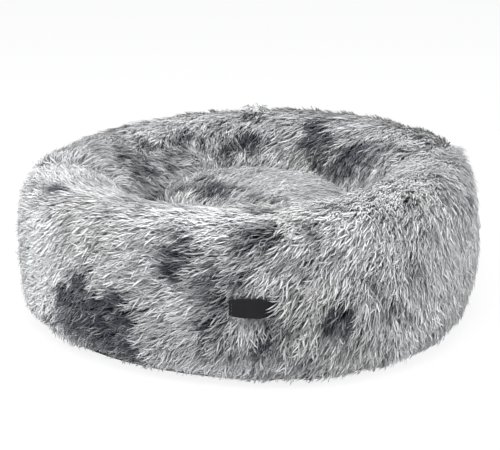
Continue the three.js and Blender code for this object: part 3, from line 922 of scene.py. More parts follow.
def keep(tree, geometry, name, value, data_type, domain):
    made = add_node(tree, "GeometryNodeStoreNamedAttribute", {"data_type": data_type, "domain": domain},
                    Geometry=geometry, Name=name, Value=value)
    return made.outputs[0]


print("planting helpers are ready")

# %% [markdown]
# Each of the next functions builds one part of the planting: where the blades stand, which tuft
# they belong to, how they lean, how large they are and how dark. Blades of one tuft gather towards
# its middle and share most of their shade.

# %% Place, turn and size the blades
DENSEST = 250000.0  # points for each square metre, before the spacing thins them
TUFT_TURN = 0.30  # how far a whole tuft may turn aside
TUFT_TILT, BLADE_TILT = 0.12, 0.10
TUFT_LENGTHS, BLADE_LENGTHS = (0.84, 1.12), (0.78, 1.15)
BLADE_HEIGHTS, BLADE_WIDTHS = (0.75, 1.2), (0.75, 1.25)
TUFT_SHADE_SHARE = 0.92  # how much of a blade's own shade it shares with its tuft
BARE = 0.1  # no pile stands where it would be shorter than this share


def spread_over(tree, given, spacing):
    covered = add_node(tree, "FunctionNodeCompare", {"operation": "GREATER_THAN"}, _0=named(tree, "trim"),
                       _1=BARE).outputs[0]
    return add_node(tree, "GeometryNodeDistributePointsOnFaces", {"distribute_method": "POISSON"},
                    Mesh=given["Panel"], Selection=covered, Distance_Min=given[spacing],
                    Density_Max=DENSEST, Seed=given["Seed"]).outputs


def find_tuft(tree, given, where):
    """Which tuft a point belongs to, and the way from it to that tuft's middle."""
    middles = spread_over(tree, given, "Tuft Spacing")["Points"]
    tuft = add_node(tree, "GeometryNodeSampleNearest", Geometry=middles, Sample_Position=where).outputs[0]
    middle = add_node(tree, "GeometryNodeSampleIndex", {"data_type": VECTOR}, Geometry=middles,
                      Value=where, Index=tuft).outputs[0]
    return tuft, vector_less(tree, middle, where)


def turn_of(tree, given, where, skin, loft, tuft, inwards):
    """How a blade stands on the skin and leans as it was brushed, stirred by noise and chance."""
    cloud = add_node(tree, "ShaderNodeTexNoise", Vector=where, Scale=given["Clump Scale"], Detail=2.0)
    swirl = vector_less(tree, cloud.outputs["Color"], (0.5, 0.5, 0.5))
    swirl = scaled(tree, swirl, add_math(tree, "MULTIPLY", given["Clumping"], loft))
    stray = scaled(tree, chance_vector(tree, 1.0, 5), add_math(tree, "MULTIPLY", given["Straying"], loft))
    lean = vector_sum(tree, named(tree, "comb", VECTOR), swirl, stray,
                      chance_vector(tree, TUFT_TURN, 14, _7=tuft), scaled(tree, inwards, given["Gathering"]))
    tilt = vector_sum(tree, skin, chance_vector(tree, BLADE_TILT, 6),
                      chance_vector(tree, TUFT_TILT, 15, _7=tuft))
    upright = add_node(tree, "FunctionNodeAlignRotationToVector", {"axis": "Z"}, Vector=tilt)
    return add_node(tree, "FunctionNodeAlignRotationToVector", {"axis": "X", "pivot_axis": "Z"},
                    Rotation=upright.outputs[0], Vector=lean).outputs[0]


def size_of(tree, given, loft, tuft):
    trim = add_math(tree, "MULTIPLY", named(tree, "trim"), chance(tree, *TUFT_LENGTHS, 16, _7=tuft))
    long = add_math(tree, "MULTIPLY", trim, chance(tree, *BLADE_LENGTHS, 7))
    lofty = add_math(tree, "MULTIPLY", trim, loft)
    high = add_math(tree, "MULTIPLY", lofty, chance(tree, *BLADE_HEIGHTS, 8))
    wide = add_math(tree, "MULTIPLY", given["Girth"], chance(tree, *BLADE_WIDTHS, 9))
    return add_node(tree, "ShaderNodeCombineXYZ", X=long, Y=wide, Z=high).outputs[0]


def shade_of(tree, tuft):
    own = add_math(tree, "MULTIPLY", chance(tree, 0.0, 1.0, 12), 1 - TUFT_SHADE_SHARE)
    shared = add_math(tree, "MULTIPLY", chance(tree, 0.0, 1.0, 13, _7=tuft), TUFT_SHADE_SHARE)
    return add_math(tree, "ADD", own, shared)


print("blades may lean, turn and share a shade with their tuft")

# %% [markdown]
# The blades start as cheap copies of a template. They are counted off into a square of cells, so that each
# gets its own small patch of the OFBake map. Then they become real mesh, any point below the floor is lifted
# onto it, and the values that only the planting needs are dropped.

# %% Build the planting nodes
PLANTING_INPUTS = {"Panel": "NodeSocketGeometry", "Blades": "NodeSocketCollection", "Seed": "NodeSocketInt"}
PLANTING_INPUTS |= dict.fromkeys(("Spacing", "Girth", "Clumping", "Straying", "Clump Scale",
                                  "Tuft Spacing", "Gathering", "Floor"), "NodeSocketFloat")
PATCH_SHARE = 0.9  # how much of its cell a blade's pattern fills


def counted_off(tree, pile):
    """Keeps each blade's cell in a square, and gives the number of cells in a row."""
    count = add_node(tree, "GeometryNodeAttributeDomainSize", {"component": "INSTANCES"}, Geometry=pile)
    row = add_math(tree, "CEIL", add_math(tree, "SQRT", count.outputs["Instance Count"]))
    index = tree.nodes.new("GeometryNodeInputIndex").outputs[0]
    column = add_math(tree, "MODULO", index, row)
    line = add_math(tree, "FLOOR", add_math(tree, "DIVIDE", index, row))
    cell = add_node(tree, "ShaderNodeCombineXYZ", X=column, Y=line).outputs[0]
    return keep(tree, pile, "cell", cell, VECTOR, "INSTANCE"), row


def off_floor(tree, pile, where, floor):
    parts = add_node(tree, "ShaderNodeSeparateXYZ", Vector=where).outputs
    height = add_math(tree, "MAXIMUM", parts[2], floor)
    lifted = add_node(tree, "ShaderNodeCombineXYZ", X=parts[0], Y=parts[1], Z=height).outputs[0]
    return add_node(tree, "GeometryNodeSetPosition", Geometry=pile, Position=lifted).outputs[0]


def patched(tree, pile, row):
    """Moves each blade's pattern into its own cell."""
    pattern = scaled(tree, named(tree, "OFBake", VECTOR), PATCH_SHARE)
    pattern = vector_sum(tree, pattern, named(tree, "cell", VECTOR))
    pattern = scaled(tree, pattern, add_math(tree, "DIVIDE", 1.0, row))
    return keep(tree, pile, "OFBake", pattern, "FLOAT2", "CORNER")


def build_planting():
    tree, given, out = new_group("Plant the pile", "GeometryNodeTree", PLANTING_INPUTS,
                                 {"Pile": "NodeSocketGeometry"})
    spread = spread_over(tree, given, "Spacing")
    where = tree.nodes.new("GeometryNodeInputPosition").outputs[0]
    tuft, inwards = find_tuft(tree, given, where)
    skin, loft = spread["Normal"], named(tree, "loft")
    points = keep(tree, spread["Points"], "strand", shade_of(tree, tuft), "FLOAT", "POINT")
    points = keep(tree, points, "skin", skin, VECTOR, "POINT")
    blades = add_node(tree, "GeometryNodeCollectionInfo", Collection=given["Blades"],
                      Separate_Children=True, Reset_Children=True).outputs[0]
    pick = add_node(tree, "FunctionNodeRandomValue", {"data_type": "INT"}, _4=0, _5=999, _8=10).outputs[2]
    pile = add_node(tree, "GeometryNodeInstanceOnPoints", Points=points, Instance=blades,
                    Pick_Instance=True, Instance_Index=pick, Scale=size_of(tree, given, loft, tuft),
                    Rotation=turn_of(tree, given, where, skin, loft, tuft, inwards)).outputs[0]
    pile, row = counted_off(tree, pile)
    pile = add_node(tree, "GeometryNodeRealizeInstances", Geometry=pile).outputs[0]
    pile = off_floor(tree, pile, where, given["Floor"])
    pile = patched(tree, pile, row)
    for spent in ("cell", "comb", "trim", "loft"):
        pile = add_node(tree, "GeometryNodeRemoveAttribute", Geometry=pile, Name=spent).outputs[0]
    tree.links.new(pile, out[0])
    return tree


planting = build_planting()
print("the planting group has", len(planting.nodes), "nodes")

# %% [markdown]
# Frosted plush is dark at its roots and pale at its tips. The shader group mixes four colours: a
# root and a tip for plush with little dye, and a root and a tip for plush dyed dark. Each lock
# takes its own place between them.

# %% Colour the pile
PILE_COLOURS = {
    "Pale Root": (0.82, 0.835, 0.85, 1), "Pale Tip": (0.95, 0.96, 0.97, 1),
    "Dark Root": (0.008, 0.009, 0.014, 1), "Dark Tip": (0.052, 0.058, 0.074, 1),
}
BACKING_DARK, BACKING_PALE = PILE_COLOURS["Dark Root"], (0.62, 0.635, 0.65, 1)
SOFT_SHARE = 0.88  # how much the light on a blade follows the wall under it, as it does on fine fibre
SOAK_SHARE, SOAK_DEPTH = 0.4, 4 * MM  # how much light soaks into the fibres, and how far
ROOT_CONTRAST, TIP_CONTRAST = 1.5, 0.9  # above 1 the middle shades come out darker
FROST_START, FROST_END = 0.1, 0.7  # where along a blade the root's colour gives way to the tip's
CREAM, CREAM_SCALE, CREAM_SHARE = (1.0, 0.965, 0.90, 1), 9.0, 0.6
CREAM_START, CREAM_FULL = 0.52, 0.74


def build_frosting():
    inputs = dict.fromkeys(("Along", "Dye", "Strand", "Variety"), "NodeSocketFloat")
    inputs |= dict.fromkeys(PILE_COLOURS, "NodeSocketColor")
    tree, given, out = new_group("Frosted pile", "ShaderNodeTree", inputs, {"Color": "NodeSocketColor"})
    own = add_math(tree, "MULTIPLY", add_math(tree, "SUBTRACT", given["Strand"], 0.5), given["Variety"])
    shade = add_node(tree, "ShaderNodeMath", {"operation": "ADD", "use_clamp": True},
                     _0=given["Dye"], _1=own).outputs[0]
    root_shade = add_math(tree, "POWER", shade, ROOT_CONTRAST)
    tip_shade = add_math(tree, "POWER", shade, TIP_CONTRAST)
    root = add_mix(tree, root_shade, given["Dark Root"], given["Pale Root"])
    tip = add_mix(tree, tip_shade, given["Dark Tip"], given["Pale Tip"])
    frost = add_range(tree, given["Along"], {"interpolation_type": "SMOOTHSTEP"},
                      From_Min=FROST_START, From_Max=FROST_END)
    tree.links.new(add_mix(tree, frost, root, tip), out[0])
    return tree


def shader_attribute(tree, name, output="Fac"):
    return add_node(tree, "ShaderNodeAttribute", {"attribute_name": name}).outputs[output]


def softened_normal(tree):
    """Turns a blade's own normal most of the way to that of the skin that it grows on."""
    own_side = tree.nodes.new("ShaderNodeNewGeometry").outputs["Normal"]
    mixed = add_node(tree, "ShaderNodeMix", {"data_type": "VECTOR"}, _0=SOFT_SHARE, _4=own_side,
                     _5=shader_attribute(tree, "skin", "Vector")).outputs[1]
    return add_node(tree, "ShaderNodeVectorMath", {"operation": "NORMALIZE"}, _0=mixed).outputs[0]


def plush_material(name, variety, **other_colours):
    """Frosted plush with a breath of cream in wide clouds. Light soaks a little into it."""
    colours = {key.replace(" ", "_"): colour for key, colour in PILE_COLOURS.items()} | other_colours
    material, tree, shader = new_material(name, 0.75, 0.15, 0.3)
    shader["Subsurface Weight"].default_value = SOAK_SHARE
    shader["Subsurface Radius"].default_value = (1.0, 0.95, 0.9)
    shader["Subsurface Scale"].default_value = SOAK_DEPTH
    frosted = add_node(tree, "ShaderNodeGroup", {"node_tree": frosting}, Variety=variety,
                       Along=shader_attribute(tree, "along"), Dye=shader_attribute(tree, "dye"),
                       Strand=shader_attribute(tree, "strand"), **colours).outputs[0]
    place = tree.nodes.new("ShaderNodeTexCoord").outputs["Object"]
    cream = add_noise(tree, place, Scale=CREAM_SCALE, Detail=1.0)
    cream = add_range(tree, cream, From_Min=CREAM_START, From_Max=CREAM_FULL, To_Max=CREAM_SHARE)
    tinted = add_node(tree, "ShaderNodeMix", {"data_type": "RGBA", "blend_type": "MULTIPLY"},
                      _0=cream, _6=frosted, _7=CREAM)
    tree.links.new(tinted.outputs[2], shader["Base Color"])
    tree.links.new(softened_normal(tree), shader["Normal"])
    return material


# The backing is dyed with the plush, from the dark root colour up to a pale grey. It is kept darker than the
# roots, with the dye squared and its pale end below theirs: painted shade in the gaps between the blades.
def backing_material():
    material, tree, shader = new_material("knitted plush backing", 0.95, 0.1)
    shade = add_math(tree, "POWER", shader_attribute(tree, "dye"), 2.0)
    tree.links.new(add_mix(tree, shade, BACKING_DARK, BACKING_PALE), shader["Base Color"])
    return material


frosting = build_frosting()
ring_plush = plush_material("frosted ring plush", 0.55)
shaded_plush_backing = backing_material()
print("plush colours:", list(PILE_COLOURS))

# %% [markdown]
# Every panel gets two sets of broad locks and two of fine strands, each a piece of its own.

# %% Plant the ring's pile
LOCK_SPACING, STRAND_SPACING = 4.3 * MM, 3.55 * MM
TUFT_SPACING = 10.5 * MM
TUFT_GATHERING = 1 / (17 * MM)
CLUMP_SCALE = 42.0
FLOOR_GAP = 0.4 * MM  # no point of the pile comes nearer to the floor
QUICK_THINNING = 1.0


def set_inputs(modifier, values):
    for item in modifier.node_group.interface.items_tree:
        if item.name in values:
            modifier[item.identifier] = values[item.name]


def wear(piece, material):
    """Gives the piece this material and no other."""
    piece.data.materials.clear()
    piece.data.materials.append(material)


def plant(name, panel, body, material, blades, spacing, seed, clumping=1.1, straying=0.16):
    piece = linked(name, panel.data)
    nodes = piece.modifiers.new("planting", "NODES")
    nodes.node_group = planting
    set_inputs(nodes, {
        "Blades": blades, "Spacing": spacing * QUICK_THINNING, "Seed": seed, "Girth": QUICK_THINNING ** 0.5,
        "Clumping": clumping, "Straying": straying, "Clump Scale": CLUMP_SCALE,
        "Tuft Spacing": TUFT_SPACING, "Gathering": TUFT_GATHERING, "Floor": FLOOR_GAP,
    })
    settle(piece)
    wear(piece, material)
    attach(piece, body)
    print(name, "has", len(piece.data.vertices), "points")


for side, panel, seed in (("front", front_panel, 10), ("back", back_panel, 50)):
    for i in range(2):
        plant(f"{side}_locks_{i + 1}", panel, "bed", ring_plush, locks, LOCK_SPACING, seed + i)
        plant(f"{side}_strands_{i + 1}", panel, "bed", ring_plush, strands, STRAND_SPACING,
              seed + 20 + i, straying=0.24)

# %% [markdown]
# The panels themselves get the thickness of their knitted back.

# %% Thicken the panels
BACKING_THICKNESS = 1.5 * MM


def thicken(piece, thickness, offset=-1):
    """Gives a sheet its thickness: on its inner side, or with offset 0 half on either side."""
    wall = piece.modifiers.new("thickness", "SOLIDIFY")
    wall.thickness = thickness
    wall.offset = offset


for panel in (front_panel, back_panel):
    thicken(panel, BACKING_THICKNESS)
    settle(panel)
    wear(panel, shaded_plush_backing)
print("panels:", front_panel.name, back_panel.name)

# %% [markdown]
# The cushion is a flat bag, sewn round its rim and stuffed until it domes. Its two sides are drawn
# as quarters of a superellipse. Then the stuffing fills it with the rim's seam pinned, which pulls
# the rim in, and a cut along the seam parts the plush on top from the plain cloth below.

# %% Shape the cushion
CUSHION_RADIUS = 131 * MM
CUSHION_CROWN = 160 * MM
CUSHION_SEAM = 85 * MM
CUSHION_FLOOR = box_of("cushion_under_cover")[0].z
CUSHION_TOP_POWER, CUSHION_UNDER_POWER = 5.5, 3.2
CUSHION_PILE = 9 * MM
CUSHION_SWELL_CAP = 4 * MM
CUSHION_RIM_INSET = 6 * MM
CUSHION_GRID = 5 * MM
CUSHION_TOP_STEPS, CUSHION_UNDER_STEPS, CUSHION_COLUMNS = 24, 20, 96
SEAM_BAND, FLOOR_BAND = 2.6 * MM, 0.5 * MM  # points so near to the seam or the floor are pinned


def superellipse(reach, rise, power, steps):
    """Points (radius, height) of a quarter, from its rim to the axis."""
    points = []
    for i in range(steps + 1):
        turn = math.pi / 2 * i / steps
        out, up = math.cos(turn), math.sin(turn)
        stretch = (out ** power + up ** power) ** (-1 / power)
        points.append((reach * out * stretch if i < steps else 0, rise * up * stretch))
    return points


def cushion_skin(inset):
    """The closed cushion at a depth inside its outline. It is deeper under the crown's pile."""
    reach = CUSHION_RADIUS - CUSHION_RIM_INSET - inset
    rise = CUSHION_CROWN - CUSHION_SEAM - CUSHION_PILE - CUSHION_SWELL_CAP - inset
    fall = CUSHION_SEAM - CUSHION_FLOOR - inset
    above = superellipse(reach, rise, CUSHION_TOP_POWER, CUSHION_TOP_STEPS)
    below = superellipse(reach, fall, CUSHION_UNDER_POWER, CUSHION_UNDER_STEPS)
    profile = [(r, CUSHION_SEAM - z) for r, z in below[::-1]]
    profile += [(r, CUSHION_SEAM + z) for r, z in above[1:]]
    return spun(profile, CUSHION_COLUMNS)


def on_cushion_seam(point):
    return abs(point.z - CUSHION_SEAM) < SEAM_BAND or point.z < CUSHION_FLOOR + FLOOR_BAND


def raised_to(shape, height):
    """Lifts every point that lies below a height onto it."""
    for vertex in shape.verts:
        vertex.co.z = max(vertex.co.z, height)
    return shape


def cut_at_seam(shape, keep_top):
    half = shape.copy()
    bmesh.ops.bisect_plane(half, geom=half.verts[:] + half.edges[:] + half.faces[:],
                           plane_co=(0, 0, CUSHION_SEAM), plane_no=(0, 0, 1),
                           clear_inner=keep_top, clear_outer=not keep_top)
    return half


bag = raised_to(filled(cushion_skin(0), CUSHION_SWELL_CAP, on_cushion_seam, CUSHION_GRID), CUSHION_FLOOR)
cushion_top = piece_from("cushion_top_panel", finer(cut_at_seam(bag, True)), "cushion")
cushion_under = piece_from("cushion_under_panel", finer(cut_at_seam(bag, False)), "cushion")
cushion_bag = loose_object("cushion bag", bag)
bag.free()
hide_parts("cushion_top_cover")
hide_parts("cushion_under_cover")
print("points of the cushion's covers:", len(cushion_top.data.vertices), len(cushion_under.data.vertices))

# %% [markdown]
# The cushion's pile was stroked in one long curve, away from the viewer at the left and over to the right.
# Round the side it falls towards the rim. It is dyed in pools like the ring's, and a few pools paint light
# and shade onto it.

# %% Paint and plant the cushion
CUSHION_STROKES = (  # x, y, heading from the X axis
    (-110, -20, 70), (-70, -30, 62), (-60, 30, 55), (-20, -30, 35), (-20, 40, 25), (20, -40, 15),
    (40, 40, 0), (60, -10, -10), (90, 20, -25), (110, -20, -30), (0, 100, 20), (0, -100, 30),
    (-60, 90, 50), (70, 90, -20), (80, -70, -10),
)
CUSHION_POOLS = (  # x, y, half width, half depth, how much lighter
    (-105, 30, 22, 40, -0.35), (-57, -14, 26, 46, -0.85), (-36, -30, 26, 36, -0.60),
    # (57, 4) paints the right half of the crown lighter: painted light.
    (-5, -26, 26, 36, -0.22), (8, -50, 12, 16, -0.30), (57, 4, 66, 68, 0.70),
    # (-113, -20), (20, 104) and (0, -118) paint bands of shade along the rim, where the cushion meets the
    # ring: painted shade.
    (-113, -20, 20, 52, -0.45), (-83, -48, 14, 30, 0.15), (-30, 60, 60, 20, -0.12),
    (20, 104, 60, 14, -0.25), (0, -118, 90, 14, -0.25),
)
CUSHION_SIDE_TRIM = 0.55
CUSHION_SIDE_SPLAY = 0.6  # how far the side's pile leans outwards as it falls
COMB_TURN, TRIM_TURN = (0.15, 0.8), (0.3, 0.9)  # how far the cover has turned down, at first and last
CUSHION_LOFT = 0.8


def cushion_comb(point, normal):
    """The way that the pile lies: along the strokes on top, and down and outwards on the side."""
    flow = Vector((0, 0, 0))
    for x, y, heading in CUSHION_STROKES:
        turn = math.radians(heading)
        flow += Vector((math.cos(turn), math.sin(turn), 0)) / farness(point.xy - Vector((x, y)) * MM)
    down = Vector((point.x, point.y, 0)).normalized() * CUSHION_SIDE_SPLAY + Vector((0, 0, -1))
    side = eased(1 - normal.z, *COMB_TURN)
    comb = flow.normalized() * (1 - side) + down * side
    return (comb - normal * comb.dot(normal)).normalized()


def cushion_dye_and_light(point):
    light = CUSHION_DYE + cloudy(point, CUSHION_SEED)
    for x, y, wide, deep, amount in CUSHION_POOLS:
        gap = math.hypot((point.x / MM - x) / wide, (point.y / MM - y) / deep)
        light += amount * in_pool(gap, point)
    return min(max(light, 0), WHITEST)


def cushion_trim(point, normal):
    """Full length on top, shorter down the side, and no pile below the seam."""
    if point.z < CUSHION_SEAM + 1 * MM:
        return 0.0
    return 1 - (1 - CUSHION_SIDE_TRIM) * eased(1 - normal.z, *TRIM_TURN)


def paint_cushion(mesh):
    combs = [cushion_comb(v.co, v.normal) for v in mesh.vertices]
    paint(mesh, {
        "comb": combs,
        "dye": [cushion_dye_and_light(v.co + comb * TIP_REACH) for v, comb in zip(mesh.vertices, combs)],
        "trim": [cushion_trim(v.co, v.normal) for v in mesh.vertices],
        "loft": [CUSHION_LOFT] * len(mesh.vertices),
    })


paint_cushion(cushion_bag.data)
paint(cushion_top.data, {"dye": [cushion_dye_and_light(v.co) for v in cushion_top.data.vertices]})
# The cushion's plush is the ring's with paler roots: painted light, to make up for the shade that it lies
# in, down in the nest.
lightened_cushion_plush = plush_material("frosted cushion plush", 0.5, Pale_Root=(0.93, 0.94, 0.95, 1))
for name, blades, spacing, seed, straying in (
        ("cushion_strands_1", strands, STRAND_SPACING, 90, 0.3),
        ("cushion_strands_2", strands, STRAND_SPACING, 91, 0.3),
        ("cushion_locks", locks, LOCK_SPACING, 80, 0.25)):
    plant(name, cushion_bag, "cushion", lightened_cushion_plush, blades, spacing, seed,
          clumping=0.8, straying=straying)
bpy.data.objects.remove(cushion_bag)
thicken(cushion_top, BACKING_THICKNESS)
settle(cushion_top)
wear(cushion_top, shaded_plush_backing)

# %% [markdown]
# Woven cloth comes next. A plain weave is two sets of threads that pass over and under each other. One group
# of nodes works that out from a place on the cloth, and every woven material uses it with its own thread
# count and colours. It gives a height too, which the bump raises, and the low parts between the threads are
# painted in a darker colour: painted shade.

# %% Weave the cloths
# The second colour of each cloth is painted shade: the weave puts it in the low parts between the threads.
CLOTHS = {  # thread colour, gap colour, threads in a metre
    "black base cloth": ((0.035, 0.035, 0.04, 1), (0.008, 0.008, 0.01, 1), 900.0),
    "grey lining": ((0.22, 0.23, 0.245, 1), (0.09, 0.095, 0.1, 1), 1300.0),
    "charcoal label cloth": ((0.017, 0.0165, 0.020, 1), (0.006, 0.006, 0.0075, 1), 2200.0),
    "black binding tape": ((0.045, 0.045, 0.05, 1), (0.012, 0.012, 0.014, 1), 1500.0),
    "black sewing thread": ((0.05, 0.05, 0.055, 1), (0.02, 0.02, 0.022, 1), 3500.0),
    "zip tape": ((0.035, 0.035, 0.038, 1), (0.01, 0.01, 0.011, 1), 1800.0),
}
FADED_GREY = (0.35, 0.35, 0.35, 1)
UPRIGHT = (math.pi / 2, 0, 0)  # turns the pattern for a cloth that stands up and faces the front


def build_weave():
    inputs = {"Place": "NodeSocketVector", "Threads": "NodeSocketFloat", "Thread": "NodeSocketColor",
              "Gap": "NodeSocketColor", "Fading": "NodeSocketFloat"}
    tree, given, out = new_group("Plain weave", "ShaderNodeTree", inputs,
                                 {"Color": "NodeSocketColor", "Height": "NodeSocketFloat"})
    counted = scaled(tree, given["Place"], given["Threads"])
    parts = add_node(tree, "ShaderNodeSeparateXYZ", Vector=counted).outputs[:2]
    ridges = [add_math(tree, "ABSOLUTE", add_math(tree, "SINE", add_math(tree, "MULTIPLY", part, math.pi)))
              for part in parts]
    cells = add_math(tree, "ADD", *[add_math(tree, "FLOOR", part) for part in parts])
    odd = add_math(tree, "ABSOLUTE", add_math(tree, "MODULO", cells, 2.0))
    height = add_node(tree, "ShaderNodeMix", {"data_type": "FLOAT"}, _0=odd, _2=ridges[0],
                      _3=ridges[1]).outputs[0]
    cloud = add_noise(tree, given["Place"], Scale=38.0, Detail=4.0)
    faded = add_math(tree, "MULTIPLY", cloud, given["Fading"])
    colour = add_mix(tree, height, given["Gap"], given["Thread"])
    tree.links.new(add_mix(tree, faded, colour, FADED_GREY), out["Color"])
    tree.links.new(height, out["Height"])
    return tree


def object_place(tree, turn=(0, 0, 0)):
    """Object coordinates, turned so that the cloth lies in their X and Y."""
    place = tree.nodes.new("ShaderNodeTexCoord").outputs["Object"]
    return add_node(tree, "ShaderNodeMapping", Vector=place, Rotation=turn).outputs[0]


def raise_bump(tree, shader, height, strength, distance):
    bump = add_node(tree, "ShaderNodeBump", Height=height, Strength=strength, Distance=distance)
    tree.links.new(bump.outputs[0], shader["Normal"])


def woven(tree, place, name, fading):
    thread, gap, threads = CLOTHS[name]
    return add_node(tree, "ShaderNodeGroup", {"node_tree": weave}, Place=place, Threads=threads,
                    Thread=thread, Gap=gap, Fading=fading).outputs


def cloth_material(name, fading=0.05, turn=(0, 0, 0), shine=0.25, sheen=0.2):
    material, tree, shader = new_material(name, 0.85, shine, sheen)
    cloth = woven(tree, object_place(tree, turn), name, fading)
    tree.links.new(cloth["Color"], shader["Base Color"])
    raise_bump(tree, shader, cloth["Height"], 0.6, 0.3 / CLOTHS[name][2])
    return material


weave = build_weave()
base_weave = cloth_material("black base cloth")
lining_weave = cloth_material("grey lining")
label_weave = cloth_material("charcoal label cloth", 0.01, UPRIGHT, shine=0.1, sheen=0.0)
tape_weave = cloth_material("black binding tape")
thread_black = cloth_material("black sewing thread")
print("woven materials are ready")

# %% [markdown]
# Sewing shows as short raised stitches. Each is a small bead drawn out along the seam. One helper
# sets a row of them along any line, and all of a row's stitches become one piece.

# %% Sew rows of stitches
STITCH_LENGTH, STITCH_GAP, STITCH_WIDTH = 2.6 * MM, 1.2 * MM, 0.7 * MM


def add_stitch(shape, spot, along, up):
    """A bead at a spot, drawn out along the seam."""
    side = Vector(up).cross(along).normalized()
    turn = Matrix((along.normalized(), side, along.normalized().cross(side))).transposed().to_4x4()
    size = Matrix.Diagonal((STITCH_LENGTH, STITCH_WIDTH, STITCH_WIDTH, 1))
    bmesh.ops.create_icosphere(shape, subdivisions=1, radius=0.5,
                               matrix=Matrix.Translation(spot) @ turn @ size)


def sew(name, seams, body, up=(0, 0, 1), material=thread_black):
    """Rows of stitches along lists of points. Up is the way that they stand off the cloth."""
    shape = bmesh.new()
    count = 0
    for seam in seams:
        gone, due = 0.0, 0.0
        for start, end in zip(seam, seam[1:]):
            step = end - start
            while due < gone + step.length:
                add_stitch(shape, start + step * ((due - gone) / step.length), step, up)
                count += 1
                due += STITCH_LENGTH + STITCH_GAP
            gone += step.length
    wear(piece_from(name, shape, body), material)
    print(name, "has", count, "stitches")


# %% [markdown]
# The cushion's covers meet in a seam round its rim. It shows as a thin ridge, which a curve with a
# round section makes, and as a row of stitches just below it.

# %% Sew the cushion's rim
RIM_SEAM_WIDTH, UNDER_THICKNESS = 3 * MM, 1 * MM
RIM_STITCH_DROP, RIM_STITCH_STRETCH = 4 * MM, 1.004


def boundary_loop(piece):
    """The points round the open edge of a cover, in order round the Z axis."""
    shape = bmesh.new()
    shape.from_mesh(piece.data)
    rim = {v for edge in shape.edges if edge.is_boundary for v in edge.verts}
    points = sorted((v.co.copy() for v in rim), key=lambda point: math.atan2(point.y, point.x))
    shape.free()
    return points


def ridge_along(name, points, width, body):
    """A closed round cord through the points."""
    curve = bpy.data.curves.new(name, "CURVE")
    curve.dimensions = "3D"
    curve.bevel_depth = width / 2
    curve.bevel_resolution = 2
    line = curve.splines.new("POLY")
    line.points.add(len(points) - 1)
    for spot, point in zip(line.points, points):
        spot.co = (*point, 1)
    line.use_cyclic_u = True
    ridge = linked(name, curve)
    bpy.context.view_layer.update()
    graph = bpy.context.evaluated_depsgraph_get()
    mesh = bpy.data.meshes.new_from_object(ridge.evaluated_get(graph), depsgraph=graph)
    bpy.data.objects.remove(ridge)
    return riding(linked(name, mesh), body)


rim = boundary_loop(cushion_under)[::2]
wear(ridge_along("cushion_rim_seam", rim, RIM_SEAM_WIDTH, "cushion"), lining_weave)
below_rim = [Vector((p.x * RIM_STITCH_STRETCH, p.y * RIM_STITCH_STRETCH, p.z - RIM_STITCH_DROP))
             for p in rim + rim[:1]]
sew("cushion_rim_stitches", [below_rim], "cushion", material=lining_weave)
thicken(cushion_under, UNDER_THICKNESS)
settle(cushion_under)
wear(cushion_under, lining_weave)

# %% [markdown]
# Stuffing fills the ring and the cushion. It is hidden, but the bed is a real assembly, so it is
# there: lumpy white fibre just inside the covers.

# %% Stuff the ring and the cushion
FIBRE_LUMP, FIBRE_LUMP_DEPTH = 22 * MM, 1.5 * MM
RING_CORE_DEPTH, CUSHION_CORE_DEPTH = 7 * MM, 4 * MM  # under the covers
RING_CORE_COLUMNS = 96
FIBRE_SHADE, FIBRE_WHITE = (0.72, 0.72, 0.70, 1), (0.90, 0.90, 0.88, 1)


def fibre_material():
    material, tree, shader = new_material("white stuffing fibre", 0.95, 0.1, 0.4)
    # The fibre is darker where the tangle is low, and the same tangle raises the bump: painted shade in its
    # hollows.
    tangle = add_noise(tree, object_place(tree), Scale=420.0, Detail=6.0, Distortion=2.0)
    tree.links.new(add_mix(tree, tangle, FIBRE_SHADE, FIBRE_WHITE), shader["Base Color"])
    raise_bump(tree, shader, tangle, 0.5, 0.8 * MM)
    return material


def lumpy(shape):
    shape.normal_update()
    lumps = [v.normal * FIBRE_LUMP_DEPTH * (noise.noise(v.co / FIBRE_LUMP) - 0.5) for v in shape.verts]
    for vertex, lump in zip(shape.verts, lumps):
        vertex.co += lump
    return shape


def stuffing_piece(name, shape, body, node):
    piece = piece_from(name, lumpy(shape), body)
    wear(piece, white_fibre)
    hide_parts(node)


white_fibre = fibre_material()
ring_core = ring_wall(PILE_DEPTH + RING_CORE_DEPTH, RING_CORE_COLUMNS)
bmesh.ops.bridge_loops(ring_core, edges=[edge for edge in ring_core.edges if edge.is_boundary])
stuffing_piece("ring_stuffing", ring_core, "bed", "ring_filling")
cushion_core = raised_to(cushion_skin(CUSHION_CORE_DEPTH), box_of("cushion_filling")[0].z + FIBRE_LUMP_DEPTH)
stuffing_piece("cushion_stuffing", cushion_core, "cushion", "cushion_filling")
print("the ring and the cushion are stuffed")

# %% [markdown]
# Below, a sheet of black cloth closes the bed. It lies flat on the floor under the ring and steps
# up in the middle, where the zip is. A tape binds the edges where it meets the plush.

# %% Close the bed below
RAISED_RADIUS, RAISED_FOOT, RAISED_HEIGHT = 131 * MM, 145 * MM, 8 * MM
CLOTH_THICKNESS = 1 * MM
BASE_SEAM_RADIUS = 261.3 * MM
FOOT_SWELL = 0.76  # the ring's foot swells by this share of what its widest part does
SLOT_HALF_LENGTH, SLOT_HALF_WIDTH, SLOT_CUT_HEIGHT = 119 * MM, 6.55 * MM, 30 * MM
BASE_COLUMNS = 144
BINDING_INSIDE, BINDING_OUTSIDE, BINDING_THICKNESS = 248.7 * MM, 256.7 * MM, 1.6 * MM


def softened_step(radius):
    """How high the base cloth is at a radius."""
    return RAISED_HEIGHT * (1 - eased(radius, RAISED_RADIUS, RAISED_FOOT))


